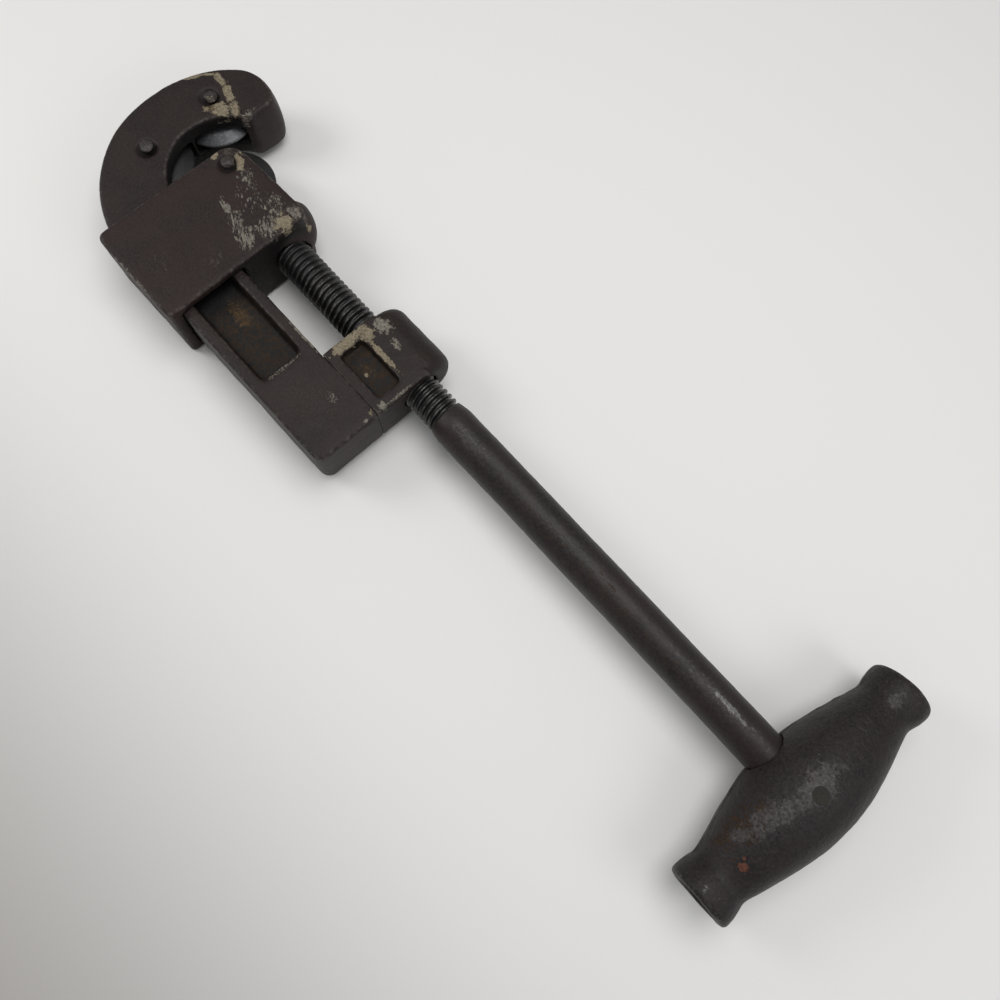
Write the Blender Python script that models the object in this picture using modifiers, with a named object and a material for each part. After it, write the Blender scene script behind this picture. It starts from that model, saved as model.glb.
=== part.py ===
"""Three-wheel pipe cutter: hooked frame, sliding jaw, screw and tee handle.

Design frame, in metres: the screw runs along X with the handle at +X, X = 0 is the
nut's face towards the jaw, Y = 0 and Z = 0 are the screw's axis, and the tool lies flat
with its hook opening towards +Y.
"""

import math

import bmesh
import bpy
from mathutils import Euler, Matrix, Vector

mm = 0.001

# Clearances
slide_gap = 0.3 * mm  # jaw sleeve on the shank
fixed_gap = 0.3 * mm  # pieces that stay together
pin_gap = 0.08 * mm  # pins in their holes, wheels on their pins
socket_gap = 0.25 * mm  # screw tip in the jaw, retaining pin in the neck
thread_gap = 0.3 * mm  # screw thread in the nut thread
handle_gap = 0.15 * mm  # bar in the handle

# Frame: shank
shank_near = -22.95 * mm  # Y of the edge towards the screw
shank_far = -55.2 * mm  # Y of the outer edge
frame_half = 13.2 * mm  # half the frame's thickness
frame_end = 36.6 * mm  # X of the end towards the handle
frame_corner = 5.0 * mm
frame_edge = 1.3 * mm
shank_rail = 5.6 * mm  # width left beside each pocket
shank_pocket_top = -96.0 * mm
shank_pocket_end = -7.7 * mm
shank_pocket_depth = 7.0 * mm
pocket_corner = 2.5 * mm

# Frame: hook
hook_x = -96.5 * mm
hook_y = 2.5 * mm
throat_radius = 27.8 * mm
throat_root_radius = 26.0 * mm
hook_radius = 53.8 * mm
tip_radius = 18.2 * mm
tip_start = 138  # degrees where the outline turns into the tip
tip_face = -112.7 * mm
tip_corner = 4.0 * mm
tip_inner_corner = 2.5 * mm

# Cutter wheels and their pins
wheel_radius = 17.75 * mm
wheel_hub_radius = 7.5 * mm
wheel_hub_half = 4.9 * mm
wheel_web_half = 3.2 * mm
wheel_rim_depth = 4.6 * mm
wheel_slot_half = 5.4 * mm
wheel_slot_gap = 1.5 * mm
pin_radius = 3.0 * mm
pin_proud = 0.9 * mm
wheel_1_x = -132.6 * mm
wheel_1_y = 20.3 * mm
wheel_2_x = -129.6 * mm
wheel_2_y = -17.3 * mm
wheel_3_x = -96.3 * mm
wheel_3_y = 4.0 * mm

# Jaw
jaw_half = 17.7 * mm
jaw_far = -61.0 * mm
jaw_near = 15.0 * mm
jaw_nose_near = 12.4 * mm
jaw_top = -105.2 * mm
jaw_nose_top = -104.0 * mm
jaw_end = -53.0 * mm
jaw_edge = 1.4 * mm
jaw_nose_corner = 9.0 * mm
jaw_corner = 3.5 * mm
boss_x = -65.0 * mm
boss_y = 3.0 * mm
boss_radius = 17.0 * mm
boss_back = 7.0 * mm  # how far the boss swells behind its widest place
boss_face = -48.3 * mm
socket_end = -72.0 * mm
close_travel = 2.0 * mm  # how far the jaw still moves towards the hook

# Nut block
nut_round_y = 4.3 * mm
nut_corner = 5.0 * mm
nut_edge = 0.8 * mm
nut_pocket_start = 5.3 * mm
nut_pocket_end = 31.0 * mm
nut_pocket_far = -17.6 * mm
nut_pocket_near = -6.1 * mm
nut_pocket_depth = 4.5 * mm
tenon_start = 10.0 * mm
tenon_end = 28.0 * mm
tenon_depth = 6.0 * mm
tenon_half = 4.0 * mm

# Screw, in one piece with its bar
thread_radius = 8.77 * mm
thread_depth = 1.65 * mm
thread_pitch = 2.9 * mm
thread_crest = 0.45 * mm
thread_start = -46.6 * mm
bar_radius = 9.525 * mm
bar_start = 53.5 * mm
bar_chamfer = 0.8 * mm
bar_end = 277.0 * mm
tip_end_radius = 6.0 * mm
tip_length = 7.0 * mm
neck_radius = 3.9 * mm
neck_length = 5.4 * mm
retainer_radius = 1.9 * mm
thread_steps = 16

# Handle
handle_x = 263.2 * mm
handle_y = 0.75 * mm
handle_lean = 1.2  # degrees away from square with the bar
handle_half = 59.7 * mm
belly_radius = 21.5 * mm
handle_neck_y = 48.5 * mm
handle_neck_radius = 12.2 * mm
flange_start = 53.5 * mm
flange_radius = 14.0 * mm
flange_edge = 1.2 * mm
recess_radius = 9.5 * mm
recess_depth = 4.0 * mm
rivet_radius = 3.75 * mm


def polar(x, y, radius, degrees):
    angle = math.radians(degrees)
    return (x + radius * math.cos(angle), y + radius * math.sin(angle))


def arc(x, y, start_radius, end_radius, start, end, count):
    """Points on an arc whose radius changes evenly with the angle."""
    points = []
    for step in range(count + 1):
        share = step / count
        radius = start_radius + (end_radius - start_radius) * share
        points.append(polar(x, y, radius, start + (end - start) * share))
    return points


def rounded(corner, before, after, radius, count=4):
    """Points of a rounded corner between two straight or nearly straight edges."""
    point = Vector(corner)
    first = (Vector(before) - point).normalized()
    second = (Vector(after) - point).normalized()
    half = first.angle(second) / 2
    centre = point + (first + second).normalized() * radius / math.sin(half)
    start = point + first * radius / math.tan(half) - centre
    end = point + second * radius / math.tan(half) - centre
    turn = start.angle_signed(end)
    points = []
    for step in range(count + 1):
        swing = Matrix.Rotation(-turn * step / count, 2)
        points.append(tuple(centre + swing @ start))
    return points


def keep(obj, collection):
    """Moves an object into one collection only."""
    for holder in list(obj.users_collection):
        holder.objects.unlink(obj)
    collection.objects.link(obj)
    return obj


def make_object(name, mesh, place=(0, 0, 0)):
    obj = bpy.data.objects.new(name, mesh)
    parts.objects.link(obj)
    obj.location = place
    return obj


def plain_mesh(obj):
    """Turns an object with live modifiers, or a curve, into a plain mesh object."""
    bpy.context.view_layer.update()
    graph = bpy.context.evaluated_depsgraph_get()
    mesh = bpy.data.meshes.new_from_object(obj.evaluated_get(graph))
    work = bmesh.new()
    work.from_mesh(mesh)
    bmesh.ops.remove_doubles(work, verts=work.verts, dist=0.002 * mm)
    bmesh.ops.recalc_face_normals(work, faces=work.faces)
    work.to_mesh(mesh)
    work.free()
    name = obj.name
    matrix = obj.matrix_world.copy()
    bpy.data.objects.remove(obj)
    plain = make_object(name, mesh)
    plain.matrix_world = matrix
    return plain


def outline_plate(name, points, half, edge):
    """A closed outline in XY, thickened both ways, with rounded top and bottom edges."""
    curve = bpy.data.curves.new(name, "CURVE")
    curve.dimensions = "2D"
    curve.fill_mode = "BOTH"
    curve.extrude = half - edge
    curve.bevel_depth = edge
    curve.bevel_resolution = 1
    curve.offset = -edge
    spline = curve.splines.new("POLY")
    spline.points.add(len(points) - 1)
    for point, (x, y) in zip(spline.points, points):
        point.co = (x, y, 0, 1)
    spline.use_cyclic_u = True
    return plain_mesh(make_object(name, curve))


def box(name, low, high, edge=0.0, sides_only=False):
    """A box between two corners, with all edges or only its Z edges rounded."""
    size = [b - a for a, b in zip(low, high)]
    middle = [(a + b) / 2 for a, b in zip(low, high)]
    mesh = bpy.data.meshes.new(name)
    work = bmesh.new()
    bmesh.ops.create_cube(work, size=1, matrix=Matrix.Diagonal((*size, 1)))
    if edge:
        edges = work.edges[:]
        if sides_only:
            edges = [e for e in edges if abs(e.verts[0].co.z - e.verts[1].co.z) > 1e-6]
        bmesh.ops.bevel(
            work, geom=edges, offset=edge, segments=3, profile=0.5, affect="EDGES"
        )
    work.to_mesh(mesh)
    work.free()
    return make_object(name, mesh, middle)


def rod(name, radius, length, place, axis="Z", sides=24):
    """A cylinder centred on a point, along one axis."""
    mesh = bpy.data.meshes.new(name)
    work = bmesh.new()
    bmesh.ops.create_cone(
        work,
        cap_ends=True,
        segments=sides,
        radius1=radius,
        radius2=radius,
        depth=length,
    )
    turns = {"X": (0, math.pi / 2, 0), "Y": (math.pi / 2, 0, 0), "Z": (0, 0, 0)}
    work.transform(Euler(turns[axis]).to_matrix().to_4x4())
    work.to_mesh(mesh)
    work.free()
    return make_object(name, mesh, place)


def turned(name, profile, place, axis="Z", steps=32):
    """A turned piece: (radius, height) points from top to bottom, ends on the axis."""
    mesh = bpy.data.meshes.new(name)
    corners = [(radius, 0, height) for radius, height in profile]
    links = [(i, i + 1) for i in range(len(corners) - 1)]
    mesh.from_pydata(corners, links, [])
    obj = make_object(name, mesh, place)
    screw = obj.modifiers.new("Turn", "SCREW")
    screw.steps = steps
    screw.render_steps = steps
    screw.use_merge_vertices = True
    screw.merge_threshold = 0.00001
    if axis == "X":
        obj.rotation_euler = (0, math.pi / 2, 0)
    elif axis == "Y":
        obj.rotation_euler = (-math.pi / 2, 0, 0)
    obj = plain_mesh(obj)
    turn = obj.matrix_world.to_3x3().to_4x4()
    obj.data.transform(turn)
    obj.matrix_world = Matrix.Translation(place)
    return obj


def threaded(name, start, turns, radius, depth, crest):
    """A closed rod along X with a helical ridge, in phase with X = 0 whatever its start."""
    slope = (thread_pitch - crest) / 2
    heights = (0, slope, slope + crest, thread_pitch)
    radii = (radius - depth, radius, radius, radius - depth)
    mesh = bpy.data.meshes.new(name)
    corners = [(r, 0, h) for r, h in zip(radii, heights)]
    mesh.from_pydata(corners, [(0, 1), (1, 2), (2, 3)], [])
    obj = make_object(name, mesh)
    screw = obj.modifiers.new("Thread", "SCREW")
    screw.screw_offset = thread_pitch
    screw.iterations = turns
    screw.steps = thread_steps
    screw.render_steps = thread_steps
    screw.use_merge_vertices = True
    screw.merge_threshold = 0.00001
    obj = plain_mesh(obj)
    work = bmesh.new()
    work.from_mesh(obj.data)
    for low in (True, False):
        rim = [e for e in work.edges if e.is_boundary]
        heights_now = [v.co.z for e in rim for v in e.verts]
        middle = (min(heights_now) + max(heights_now)) / 2
        rim = [e for e in rim if (e.verts[0].co.z < middle) == low]
        if not low:
            rim = [e for e in work.edges if e.is_boundary]
        face_rim = [
            e for e in rim if max(v.co.xy.length for v in e.verts) > radius - depth / 2
        ]
        flank = {v for e in face_rim for v in e.verts}
        ends = [v for v in flank if v.co.xy.length < radius - depth / 2]
        bmesh.ops.contextual_create(work, geom=list(flank))
        base = work.edges.get(ends) or work.edges.new(ends)
        loop = [e for e in rim if e not in face_rim] + [base]
        height = sum(v.co.z for v in ends) / 2
        hub = work.verts.new((0, 0, height))
        for edge in loop:
            work.faces.new((edge.verts[0], edge.verts[1], hub))
    bmesh.ops.recalc_face_normals(work, faces=work.faces)
    work.transform(Euler((0, math.pi / 2, 0)).to_matrix().to_4x4())
    work.transform(Matrix.Translation((start, 0, 0)))
    work.to_mesh(obj.data)
    work.free()
    return obj


def combine(obj, others, operation):
    """Cuts, joins or trims an object with helpers, which go to the cutters' collection."""
    for other in others:
        modifier = obj.modifiers.new(other.name, "BOOLEAN")
        modifier.operation = operation
        modifier.object = other
        modifier.solver = "EXACT"
        other.hide_render = True
        other.display_type = "WIRE"
        keep(other, cutters)


def finish(obj, colour, metallic, roughness):
    """Gives an object its own material and smooth shading between its sharp edges."""
    material = bpy.data.materials.new(obj.name)
    material.use_nodes = True
    shader = material.node_tree.nodes["Principled BSDF"]
    shader.inputs["Base Color"].default_value = (*colour, 1)
    shader.inputs["Metallic"].default_value = metallic
    shader.inputs["Roughness"].default_value = roughness
    obj.data.materials.clear()
    obj.data.materials.append(material)
    obj.data.shade_smooth()
    obj.data.set_sharp_from_angle(angle=math.radians(35))


def place_under(obj, parent):
    obj.parent = parent
    obj.matrix_parent_inverse = parent.matrix_world.inverted()


def hook_outline():
    """The frame's outline, round the hook and down the shank."""
    tip_x, tip_y = polar(hook_x, hook_y, hook_radius - tip_radius, tip_start)
    top_corner = polar(tip_x, tip_y, tip_radius, 62)
    face_top = (tip_face, top_corner[1] - tip_radius * 0.08)
    inner_swing = math.degrees(math.acos((tip_face - hook_x) / throat_radius))
    inner_corner = polar(hook_x, hook_y, throat_radius, inner_swing)
    after_inner = polar(hook_x, hook_y, throat_radius, inner_swing + 12)
    root_radius = (hook_y - shank_far) / math.sin(math.radians(82))
    near_reach = (hook_y - shank_near) / throat_root_radius
    near_swing = 360 - math.degrees(math.acos(-math.sqrt(1 - near_reach**2)))
    points = rounded(
        (frame_end, shank_far), (0, shank_far), (frame_end, shank_near), frame_corner
    )
    points.append((frame_end, shank_near))
    points += arc(
        hook_x, hook_y, throat_root_radius, throat_radius, near_swing, 190, 9
    )
    points += arc(
        hook_x, hook_y, throat_radius, throat_radius, 185, inner_swing + 12, 9
    )
    points += rounded(inner_corner, after_inner, face_top, tip_inner_corner)
    points += rounded(face_top, inner_corner, top_corner, tip_corner)
    points += arc(tip_x, tip_y, tip_radius, tip_radius, 68, tip_start, 8)
    points += arc(hook_x, hook_y, hook_radius, hook_radius, tip_start + 5, 180, 6)
    points += arc(hook_x, hook_y, hook_radius, root_radius, 186, 262, 10)
    return points


def jaw_outline():
    """The jaw's outline, a block with a rounded nose over the throat."""
    far_top = (jaw_top, jaw_far)
    far_end = (jaw_end, jaw_far)
    near_end = (jaw_end, jaw_near)
    nose = (jaw_nose_top, jaw_nose_near)
    points = rounded(far_end, far_top, near_end, jaw_edge * 1.2)
    points += rounded(near_end, far_end, nose, jaw_corner * 1.6)
    points += rounded(nose, near_end, far_top, jaw_nose_corner, 6)
    points += rounded(far_top, nose, far_end, jaw_corner)
    return points


def wheel_profile():
    """Half of a cutter wheel's section, from the top of its hub to the bottom."""
    bore = pin_radius + pin_gap
    rim = wheel_radius - wheel_rim_depth
    edge = 0.12 * mm
    upper = [
        (bore, wheel_hub_half),
        (wheel_hub_radius, wheel_hub_half),
        (wheel_hub_radius + 0.6 * mm, wheel_web_half),
        (rim, wheel_web_half * 0.78),
        (wheel_radius, edge),
    ]
    lower = [(radius, -height) for radius, height in reversed(upper)]
    return upper + lower + [upper[0]]


def pin_profile(half):
    """A straight pin with domed, hammered ends."""
    return [
        (0, half + pin_proud),
        (pin_radius * 0.55, half + pin_proud * 0.9),
        (pin_radius * 0.9, half + pin_proud * 0.5),
        (pin_radius, half + pin_proud * 0.1),
        (pin_radius, -half - pin_proud * 0.1),
        (pin_radius * 0.9, -half - pin_proud * 0.5),
        (pin_radius * 0.55, -half - pin_proud * 0.9),
        (0, -half - pin_proud),
    ]


def handle_radius(distance):
    """The handle's radius at a distance from its middle, a barrel between two flanges."""
    share = min(distance / handle_neck_y, 1)
    swell = (1 + math.cos(math.pi * share)) / 2
    swell = 0.25 * swell + 0.75 * (1 - share**2)
    return handle_neck_radius + (belly_radius - handle_neck_radius) * swell


def handle_profile():
    """The handle's section, from the bottom of one end recess to the other's."""
    stations = [handle_neck_y * step / 8 for step in range(9)]
    barrel = [(handle_radius(y), y) for y in reversed(stations)]
    upper = [
        (0, handle_half - recess_depth),
        (recess_radius * 0.7, handle_half - recess_depth),
        (recess_radius, handle_half),
        (flange_radius - flange_edge, handle_half),
        (flange_radius, handle_half - flange_edge),
        (flange_radius, flange_start),
    ]
    upper += barrel
    lower = [(radius, -height) for radius, height in reversed(upper[:-1])]
    return upper + lower


def make_frame():
    obj = outline_plate("frame", hook_outline(), frame_half, frame_edge)
    helpers = []
    pocket_low = shank_far + shank_rail
    pocket_high = shank_near - shank_rail
    for side in (-1, 1):
        depths = sorted(
            (side * (frame_half - shank_pocket_depth), side * frame_half * 1.2)
        )
        helpers.append(
            box(
                f"cut_shank_pocket_{side}",
                (shank_pocket_top, pocket_low, depths[0]),
                (shank_pocket_end, pocket_high, depths[1]),
                pocket_corner,
                sides_only=True,
            )
        )
    for number, (x, y) in enumerate(frame_wheels, 1):
        radius = wheel_radius + wheel_slot_gap
        helpers.append(
            rod(f"cut_slot_{number}", radius, 2 * wheel_slot_half, (x, y, 0), sides=48)
        )
        hole = pin_radius + pin_gap
        helpers.append(rod(f"cut_pin_{number}", hole, frame_half * 3, (x, y, 0)))
    helpers.append(
        box(
            "cut_mortise",
            (
                tenon_start - fixed_gap,
                shank_near - tenon_depth - fixed_gap,
                -tenon_half - fixed_gap,
            ),
            (
                tenon_end + fixed_gap,
                shank_near + tenon_depth,
                tenon_half + fixed_gap,
            ),
        )
    )
    combine(obj, helpers, "DIFFERENCE")
    finish(obj, (0.036, 0.029, 0.028), 0.55, 0.55)
    return obj


def make_nut():
    face = shank_near + fixed_gap
    obj = box(
        "nut_block",
        (0, face, -frame_half),
        (frame_end, nut_round_y, frame_half),
        nut_edge,
    )
    round_side = [(0, frame_end), (frame_half - nut_corner, frame_end)]
    for step in range(1, 5):
        swing = math.radians(90 - 90 * step / 4)
        round_side.append(
            (
                frame_half - nut_corner * (1 - math.cos(swing)),
                frame_end - nut_corner * (1 - math.sin(swing)),
            )
        )
    round_side += [(radius, frame_end - height) for radius, height in reversed(round_side)]
    joined = [
        turned("join_nut_round", round_side, (0, nut_round_y, 0), "X", 40),
        box(
            "join_tenon",
            (tenon_start, shank_near - tenon_depth, -tenon_half),
            (tenon_end, face + 1 * mm, tenon_half),
        ),
    ]
    combine(obj, joined, "UNION")
    helpers = []
    for side in (-1, 1):
        depths = sorted(
            (side * (frame_half - nut_pocket_depth), side * frame_half * 1.2)
        )
        helpers.append(
            box(
                f"cut_nut_pocket_{side}",
                (nut_pocket_start, nut_pocket_far, depths[0]),
                (nut_pocket_end, nut_pocket_near, depths[1]),
                pocket_corner * 0.6,
                sides_only=True,
            )
        )
    first = 2 + math.ceil(thread_gap / thread_pitch)
    turns = math.ceil(frame_end / thread_pitch) + 2 * first
    helpers.append(
        threaded(
            "cut_nut_thread",
            thread_start
            + thread_pitch
            * (math.floor(-thread_start / thread_pitch) - first),
            turns,
            thread_radius + thread_gap,
            thread_depth,
            thread_crest + thread_gap,
        )
    )
    combine(obj, helpers, "DIFFERENCE")
    finish(obj, (0.040, 0.032, 0.030), 0.5, 0.6)
    return obj


def make_jaw():
    obj = outline_plate("jaw", jaw_outline(), jaw_half, jaw_edge)
    reach = boss_face - boss_x
    last = math.degrees(math.asin(min(reach / boss_radius, 0.99)))
    dome = [(0, reach)]
    for step in range(7):
        swing = math.radians(last * (1 - step / 6))
        dome.append((boss_radius * math.cos(swing), boss_radius * math.sin(swing)))
    for step in range(1, 5):
        swing = math.radians(90 * step / 4)
        radius = boss_radius * math.cos(swing) if step < 4 else 0
        dome.append((radius, -boss_back * math.sin(swing)))
    boss = turned("join_boss", dome, (boss_x, boss_y, 0), "X", 40)
    combine(obj, [boss], "UNION")
    socket_radius = tip_end_radius + socket_gap
    socket_start = socket_end - socket_gap
    channel = box(
        "cut_channel",
        (
            jaw_top * 1.2,
            shank_far - slide_gap,
            -frame_half - slide_gap,
        ),
        (jaw_end * 0.8, shank_near + slide_gap, frame_half + slide_gap),
    )
    # The sleeve's inner corner is relieved where the hook's throat curves into the shank
    curve_reach = (hook_y - shank_near) / throat_root_radius
    curve_start = hook_x - throat_root_radius * math.sqrt(1 - curve_reach**2)
    closed_top = jaw_top - close_travel - hook_x
    curve_y = hook_y - math.sqrt(throat_root_radius**2 - closed_top**2)
    relief = box(
        "cut_relief",
        (jaw_top * 1.2, shank_near - slide_gap, -frame_half - slide_gap),
        (
            curve_start + close_travel + slide_gap,
            curve_y + 2 * slide_gap,
            frame_half + slide_gap,
        ),
    )
    slot = rod(
        "cut_slot_3",
        wheel_radius + wheel_slot_gap,
        2 * wheel_slot_half,
        (wheel_3_x, wheel_3_y, 0),
        sides=48,
    )
    pin = rod(
        "cut_pin_3", pin_radius + pin_gap, jaw_half * 3, (wheel_3_x, wheel_3_y, 0)
    )
    socket = rod(
        "cut_socket",
        socket_radius,
        boss_face + 4 * mm - socket_start,
        ((boss_face + 4 * mm + socket_start) / 2, 0, 0),
        "X",
    )
    cross = rod(
        "cut_retainer",
        retainer_radius + pin_gap,
        retainer_outer - retainer_inner + 10 * mm,
        (retainer_x, (retainer_outer + retainer_inner + 10 * mm) / 2, retainer_z),
        "Y",
        20,
    )
    combine(obj, [channel, relief, slot, pin, socket, cross], "DIFFERENCE")
    finish(obj, (0.047, 0.032, 0.029), 0.5, 0.58)
    return obj


def make_wheel(name, x, y):
    obj = turned(name, wheel_profile(), (x, y, 0), "Z", 40)
    finish(obj, (0.32, 0.35, 0.38), 0.95, 0.33)
    return obj


def make_pin(name, x, y, half):
    obj = turned(name, pin_profile(half), (x, y, 0), "Z", 24)
    finish(obj, (0.055, 0.045, 0.042), 0.7, 0.5)
    return obj


def make_screw():
    neck_start = socket_end + tip_length
    neck_end = neck_start + neck_length
    root = thread_radius - thread_depth
    core = root * math.cos(math.pi / thread_steps) - 0.1 * mm  # inside the thread's flats
    end_cut = 1.0 * mm
    sections = [
        (0, bar_end),
        (bar_radius - end_cut, bar_end),
        (bar_radius, bar_end - end_cut),
        (bar_radius, bar_start + bar_chamfer),
        (bar_radius - bar_chamfer, bar_start),
        (core, bar_start),
        (core, thread_start + thread_pitch),
        (tip_end_radius, thread_start + thread_pitch),
        (tip_end_radius, neck_end),
        (neck_radius, neck_end),
        (neck_radius, neck_start),
        (tip_end_radius, neck_start),
        (tip_end_radius, socket_end + end_cut),
        (tip_end_radius - end_cut, socket_end),
        (0, socket_end),
    ]
    obj = turned("screw", sections, (0, 0, 0), "X", 32)
    turns = math.ceil((bar_start - thread_start) / thread_pitch)
    thread = threaded(
        "join_thread", thread_start, turns, thread_radius, thread_depth, thread_crest
    )
    combine(obj, [thread], "UNION")
    cross = rod(
        "cut_bar_rivet",
        rivet_radius + pin_gap,
        bar_radius * 3,
        (handle_x, 0, 0),
        "Z",
        28,
    )
    combine(obj, [cross], "DIFFERENCE")
    finish(obj, (0.040, 0.034, 0.032), 0.75, 0.48)
    return obj


def make_handle():
    obj = turned("handle", handle_profile(), (0, 0, 0), "Y", 32)
    lean = math.radians(-handle_lean)
    place = Vector((handle_x, handle_y, 0))
    obj.data.transform(Matrix.Rotation(lean, 4, "Z"))
    obj.data.transform(Matrix.Translation(place))
    length = bar_end + handle_gap * 2 - (handle_x - belly_radius * 2)
    bore = rod(
        "cut_handle_bore",
        bar_radius + handle_gap,
        length,
        (handle_x - belly_radius * 2 + length / 2, 0, 0),
        "X",
        32,
    )
    cross = rod(
        "cut_handle_rivet",
        rivet_radius + pin_gap,
        belly_radius * 3,
        (handle_x, 0, 0),
        "Z",
        28,
    )
    combine(obj, [bore, cross], "DIFFERENCE")
    finish(obj, (0.030, 0.027, 0.026), 0.7, 0.5)
    return obj


def make_handle_rivet():
    top = belly_radius - 0.25 * mm
    profile = [
        (0, top),
        (rivet_radius * 0.8, top - 0.05 * mm),
        (rivet_radius, top - 0.35 * mm),
    ]
    profile += [(radius, -height) for radius, height in reversed(profile)]
    obj = turned("handle_rivet", profile, (handle_x, 0, 0), "Z", 28)
    finish(obj, (0.07, 0.062, 0.058), 0.8, 0.42)
    return obj


def make_retainer():
    length = retainer_outer - retainer_inner
    middle = (retainer_outer + retainer_inner) / 2
    obj = rod(
        "screw_retainer", retainer_radius, length, (retainer_x, middle, retainer_z), "Y", 20
    )
    finish(obj, (0.06, 0.05, 0.046), 0.7, 0.5)
    return obj


for old in list(bpy.data.objects):
    bpy.data.objects.remove(old)

parts = bpy.data.collections.new("pipe_cutter")
cutters = bpy.data.collections.new("cutters")
bpy.context.scene.collection.children.link(parts)
bpy.context.scene.collection.children.link(cutters)

frame_wheels = [(wheel_1_x, wheel_1_y), (wheel_2_x, wheel_2_y)]
retainer_x = socket_end + tip_length + neck_length / 2
retainer_z = neck_radius + socket_gap + retainer_radius
retainer_inner = -(tip_end_radius + 3 * mm)
retainer_reach = boss_radius**2 - (retainer_x - boss_x) ** 2
retainer_reach = retainer_reach - (retainer_z + retainer_radius) ** 2
retainer_outer = boss_y + math.sqrt(retainer_reach) - 0.2 * mm

frame = make_frame()
nut = make_nut()
jaw = make_jaw()
wheel_1 = make_wheel("wheel_1", wheel_1_x, wheel_1_y)
wheel_2 = make_wheel("wheel_2", wheel_2_x, wheel_2_y)
wheel_3 = make_wheel("wheel_3", wheel_3_x, wheel_3_y)
pin_1 = make_pin("wheel_pin_1", wheel_1_x, wheel_1_y, frame_half)
pin_2 = make_pin("wheel_pin_2", wheel_2_x, wheel_2_y, frame_half)
pin_3 = make_pin("wheel_pin_3", wheel_3_x, wheel_3_y, jaw_half)
screw = make_screw()
handle = make_handle()
rivet = make_handle_rivet()
retainer = make_retainer()

# The tree of pieces, moved so that the origin is under the middle of the whole tool
base = bpy.data.objects.new("pipe_cutter_origin", None)
parts.objects.link(base)
bpy.context.view_layer.update()
for child in (nut, wheel_1, wheel_2, pin_1, pin_2, jaw):
    place_under(child, frame)
for child in (wheel_3, pin_3, retainer, screw):
    place_under(child, jaw)
for child in (handle, rivet):
    place_under(child, screw)
place_under(frame, base)
for helper in cutters.objects:
    place_under(helper, base)

bpy.context.view_layer.update()
graph = bpy.context.evaluated_depsgraph_get()
low = Vector((1, 1, 1))
high = Vector((-1, -1, -1))
for piece in parts.objects:
    if piece.type != "MESH":
        continue
    evaluated = piece.evaluated_get(graph)
    for vertex in evaluated.data.vertices:
        point = evaluated.matrix_world @ vertex.co
        low = Vector(map(min, low, point))
        high = Vector(map(max, high, point))
base.location = (-(low.x + high.x) / 2, -(low.y + high.y) / 2, -low.z)
bpy.context.view_layer.update()
print("size", [round((b - a) / mm, 2) for a, b in zip(low, high)])
print("origin shift", [round(value / mm, 3) for value in base.location])
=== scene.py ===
import math

import bmesh
import bpy
import numpy as np
from mathutils import Matrix, Vector, noise


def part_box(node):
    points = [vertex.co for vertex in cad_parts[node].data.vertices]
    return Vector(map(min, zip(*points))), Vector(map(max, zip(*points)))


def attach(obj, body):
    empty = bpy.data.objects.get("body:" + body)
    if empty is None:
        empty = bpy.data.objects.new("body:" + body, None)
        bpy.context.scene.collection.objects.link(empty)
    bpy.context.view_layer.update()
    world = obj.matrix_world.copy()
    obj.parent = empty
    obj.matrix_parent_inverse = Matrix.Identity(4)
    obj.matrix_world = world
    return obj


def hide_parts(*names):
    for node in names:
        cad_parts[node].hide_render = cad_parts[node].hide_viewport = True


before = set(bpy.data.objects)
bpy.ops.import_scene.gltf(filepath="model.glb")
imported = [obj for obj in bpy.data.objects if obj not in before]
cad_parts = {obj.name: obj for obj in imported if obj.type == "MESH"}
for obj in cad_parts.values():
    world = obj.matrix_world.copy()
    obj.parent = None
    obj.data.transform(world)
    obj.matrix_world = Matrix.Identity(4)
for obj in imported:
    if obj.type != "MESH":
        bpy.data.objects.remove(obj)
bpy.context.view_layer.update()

# Pieces are modelled in millimetres, from the screw's axis and the nut's face towards the jaw
screwLow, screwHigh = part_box("screw")
datum = Vector((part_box("nut_block")[0].x, (screwLow.y + screwHigh.y) / 2, (screwLow.z + screwHigh.z) / 2))
toRow = Matrix.Translation(datum) @ Matrix.Scale(0.001, 4)


def cornersOf(node):
    low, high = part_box(node)
    return (low - datum) * 1000, (high - datum) * 1000


def middleOf(node):
    low, high = cornersOf(node)
    return (low + high) / 2


# ---- mesh helpers

def polar(centre, radius, degrees):
    angle = math.radians(degrees)
    return (centre[0] + radius * math.cos(angle), centre[1] + radius * math.sin(angle))


def arc(centre, radii, swing, count):
    points = []
    for step in range(count + 1):
        share = step / count
        radius = radii[0] + (radii[1] - radii[0]) * share
        points.append(polar(centre, radius, swing[0] + (swing[1] - swing[0]) * share))
    return points


def rounded(corner, before, after, radius, count=6):
    point = Vector(corner)
    first = (Vector(before) - point).normalized()
    second = (Vector(after) - point).normalized()
    half = first.angle(second) / 2
    centre = point + (first + second).normalized() * radius / math.sin(half)
    start = point + first * radius / math.tan(half) - centre
    turn = start.angle_signed(point + second * radius / math.tan(half) - centre)
    return [tuple(centre + Matrix.Rotation(-turn * step / count, 2) @ start) for step in range(count + 1)]


def objectFrom(name, work):
    bmesh.ops.recalc_face_normals(work, faces=work.faces)
    mesh = bpy.data.meshes.new(name)
    work.to_mesh(mesh)
    work.free()
    obj = bpy.data.objects.new(name, mesh)
    bpy.context.scene.collection.objects.link(obj)
    return obj


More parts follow.
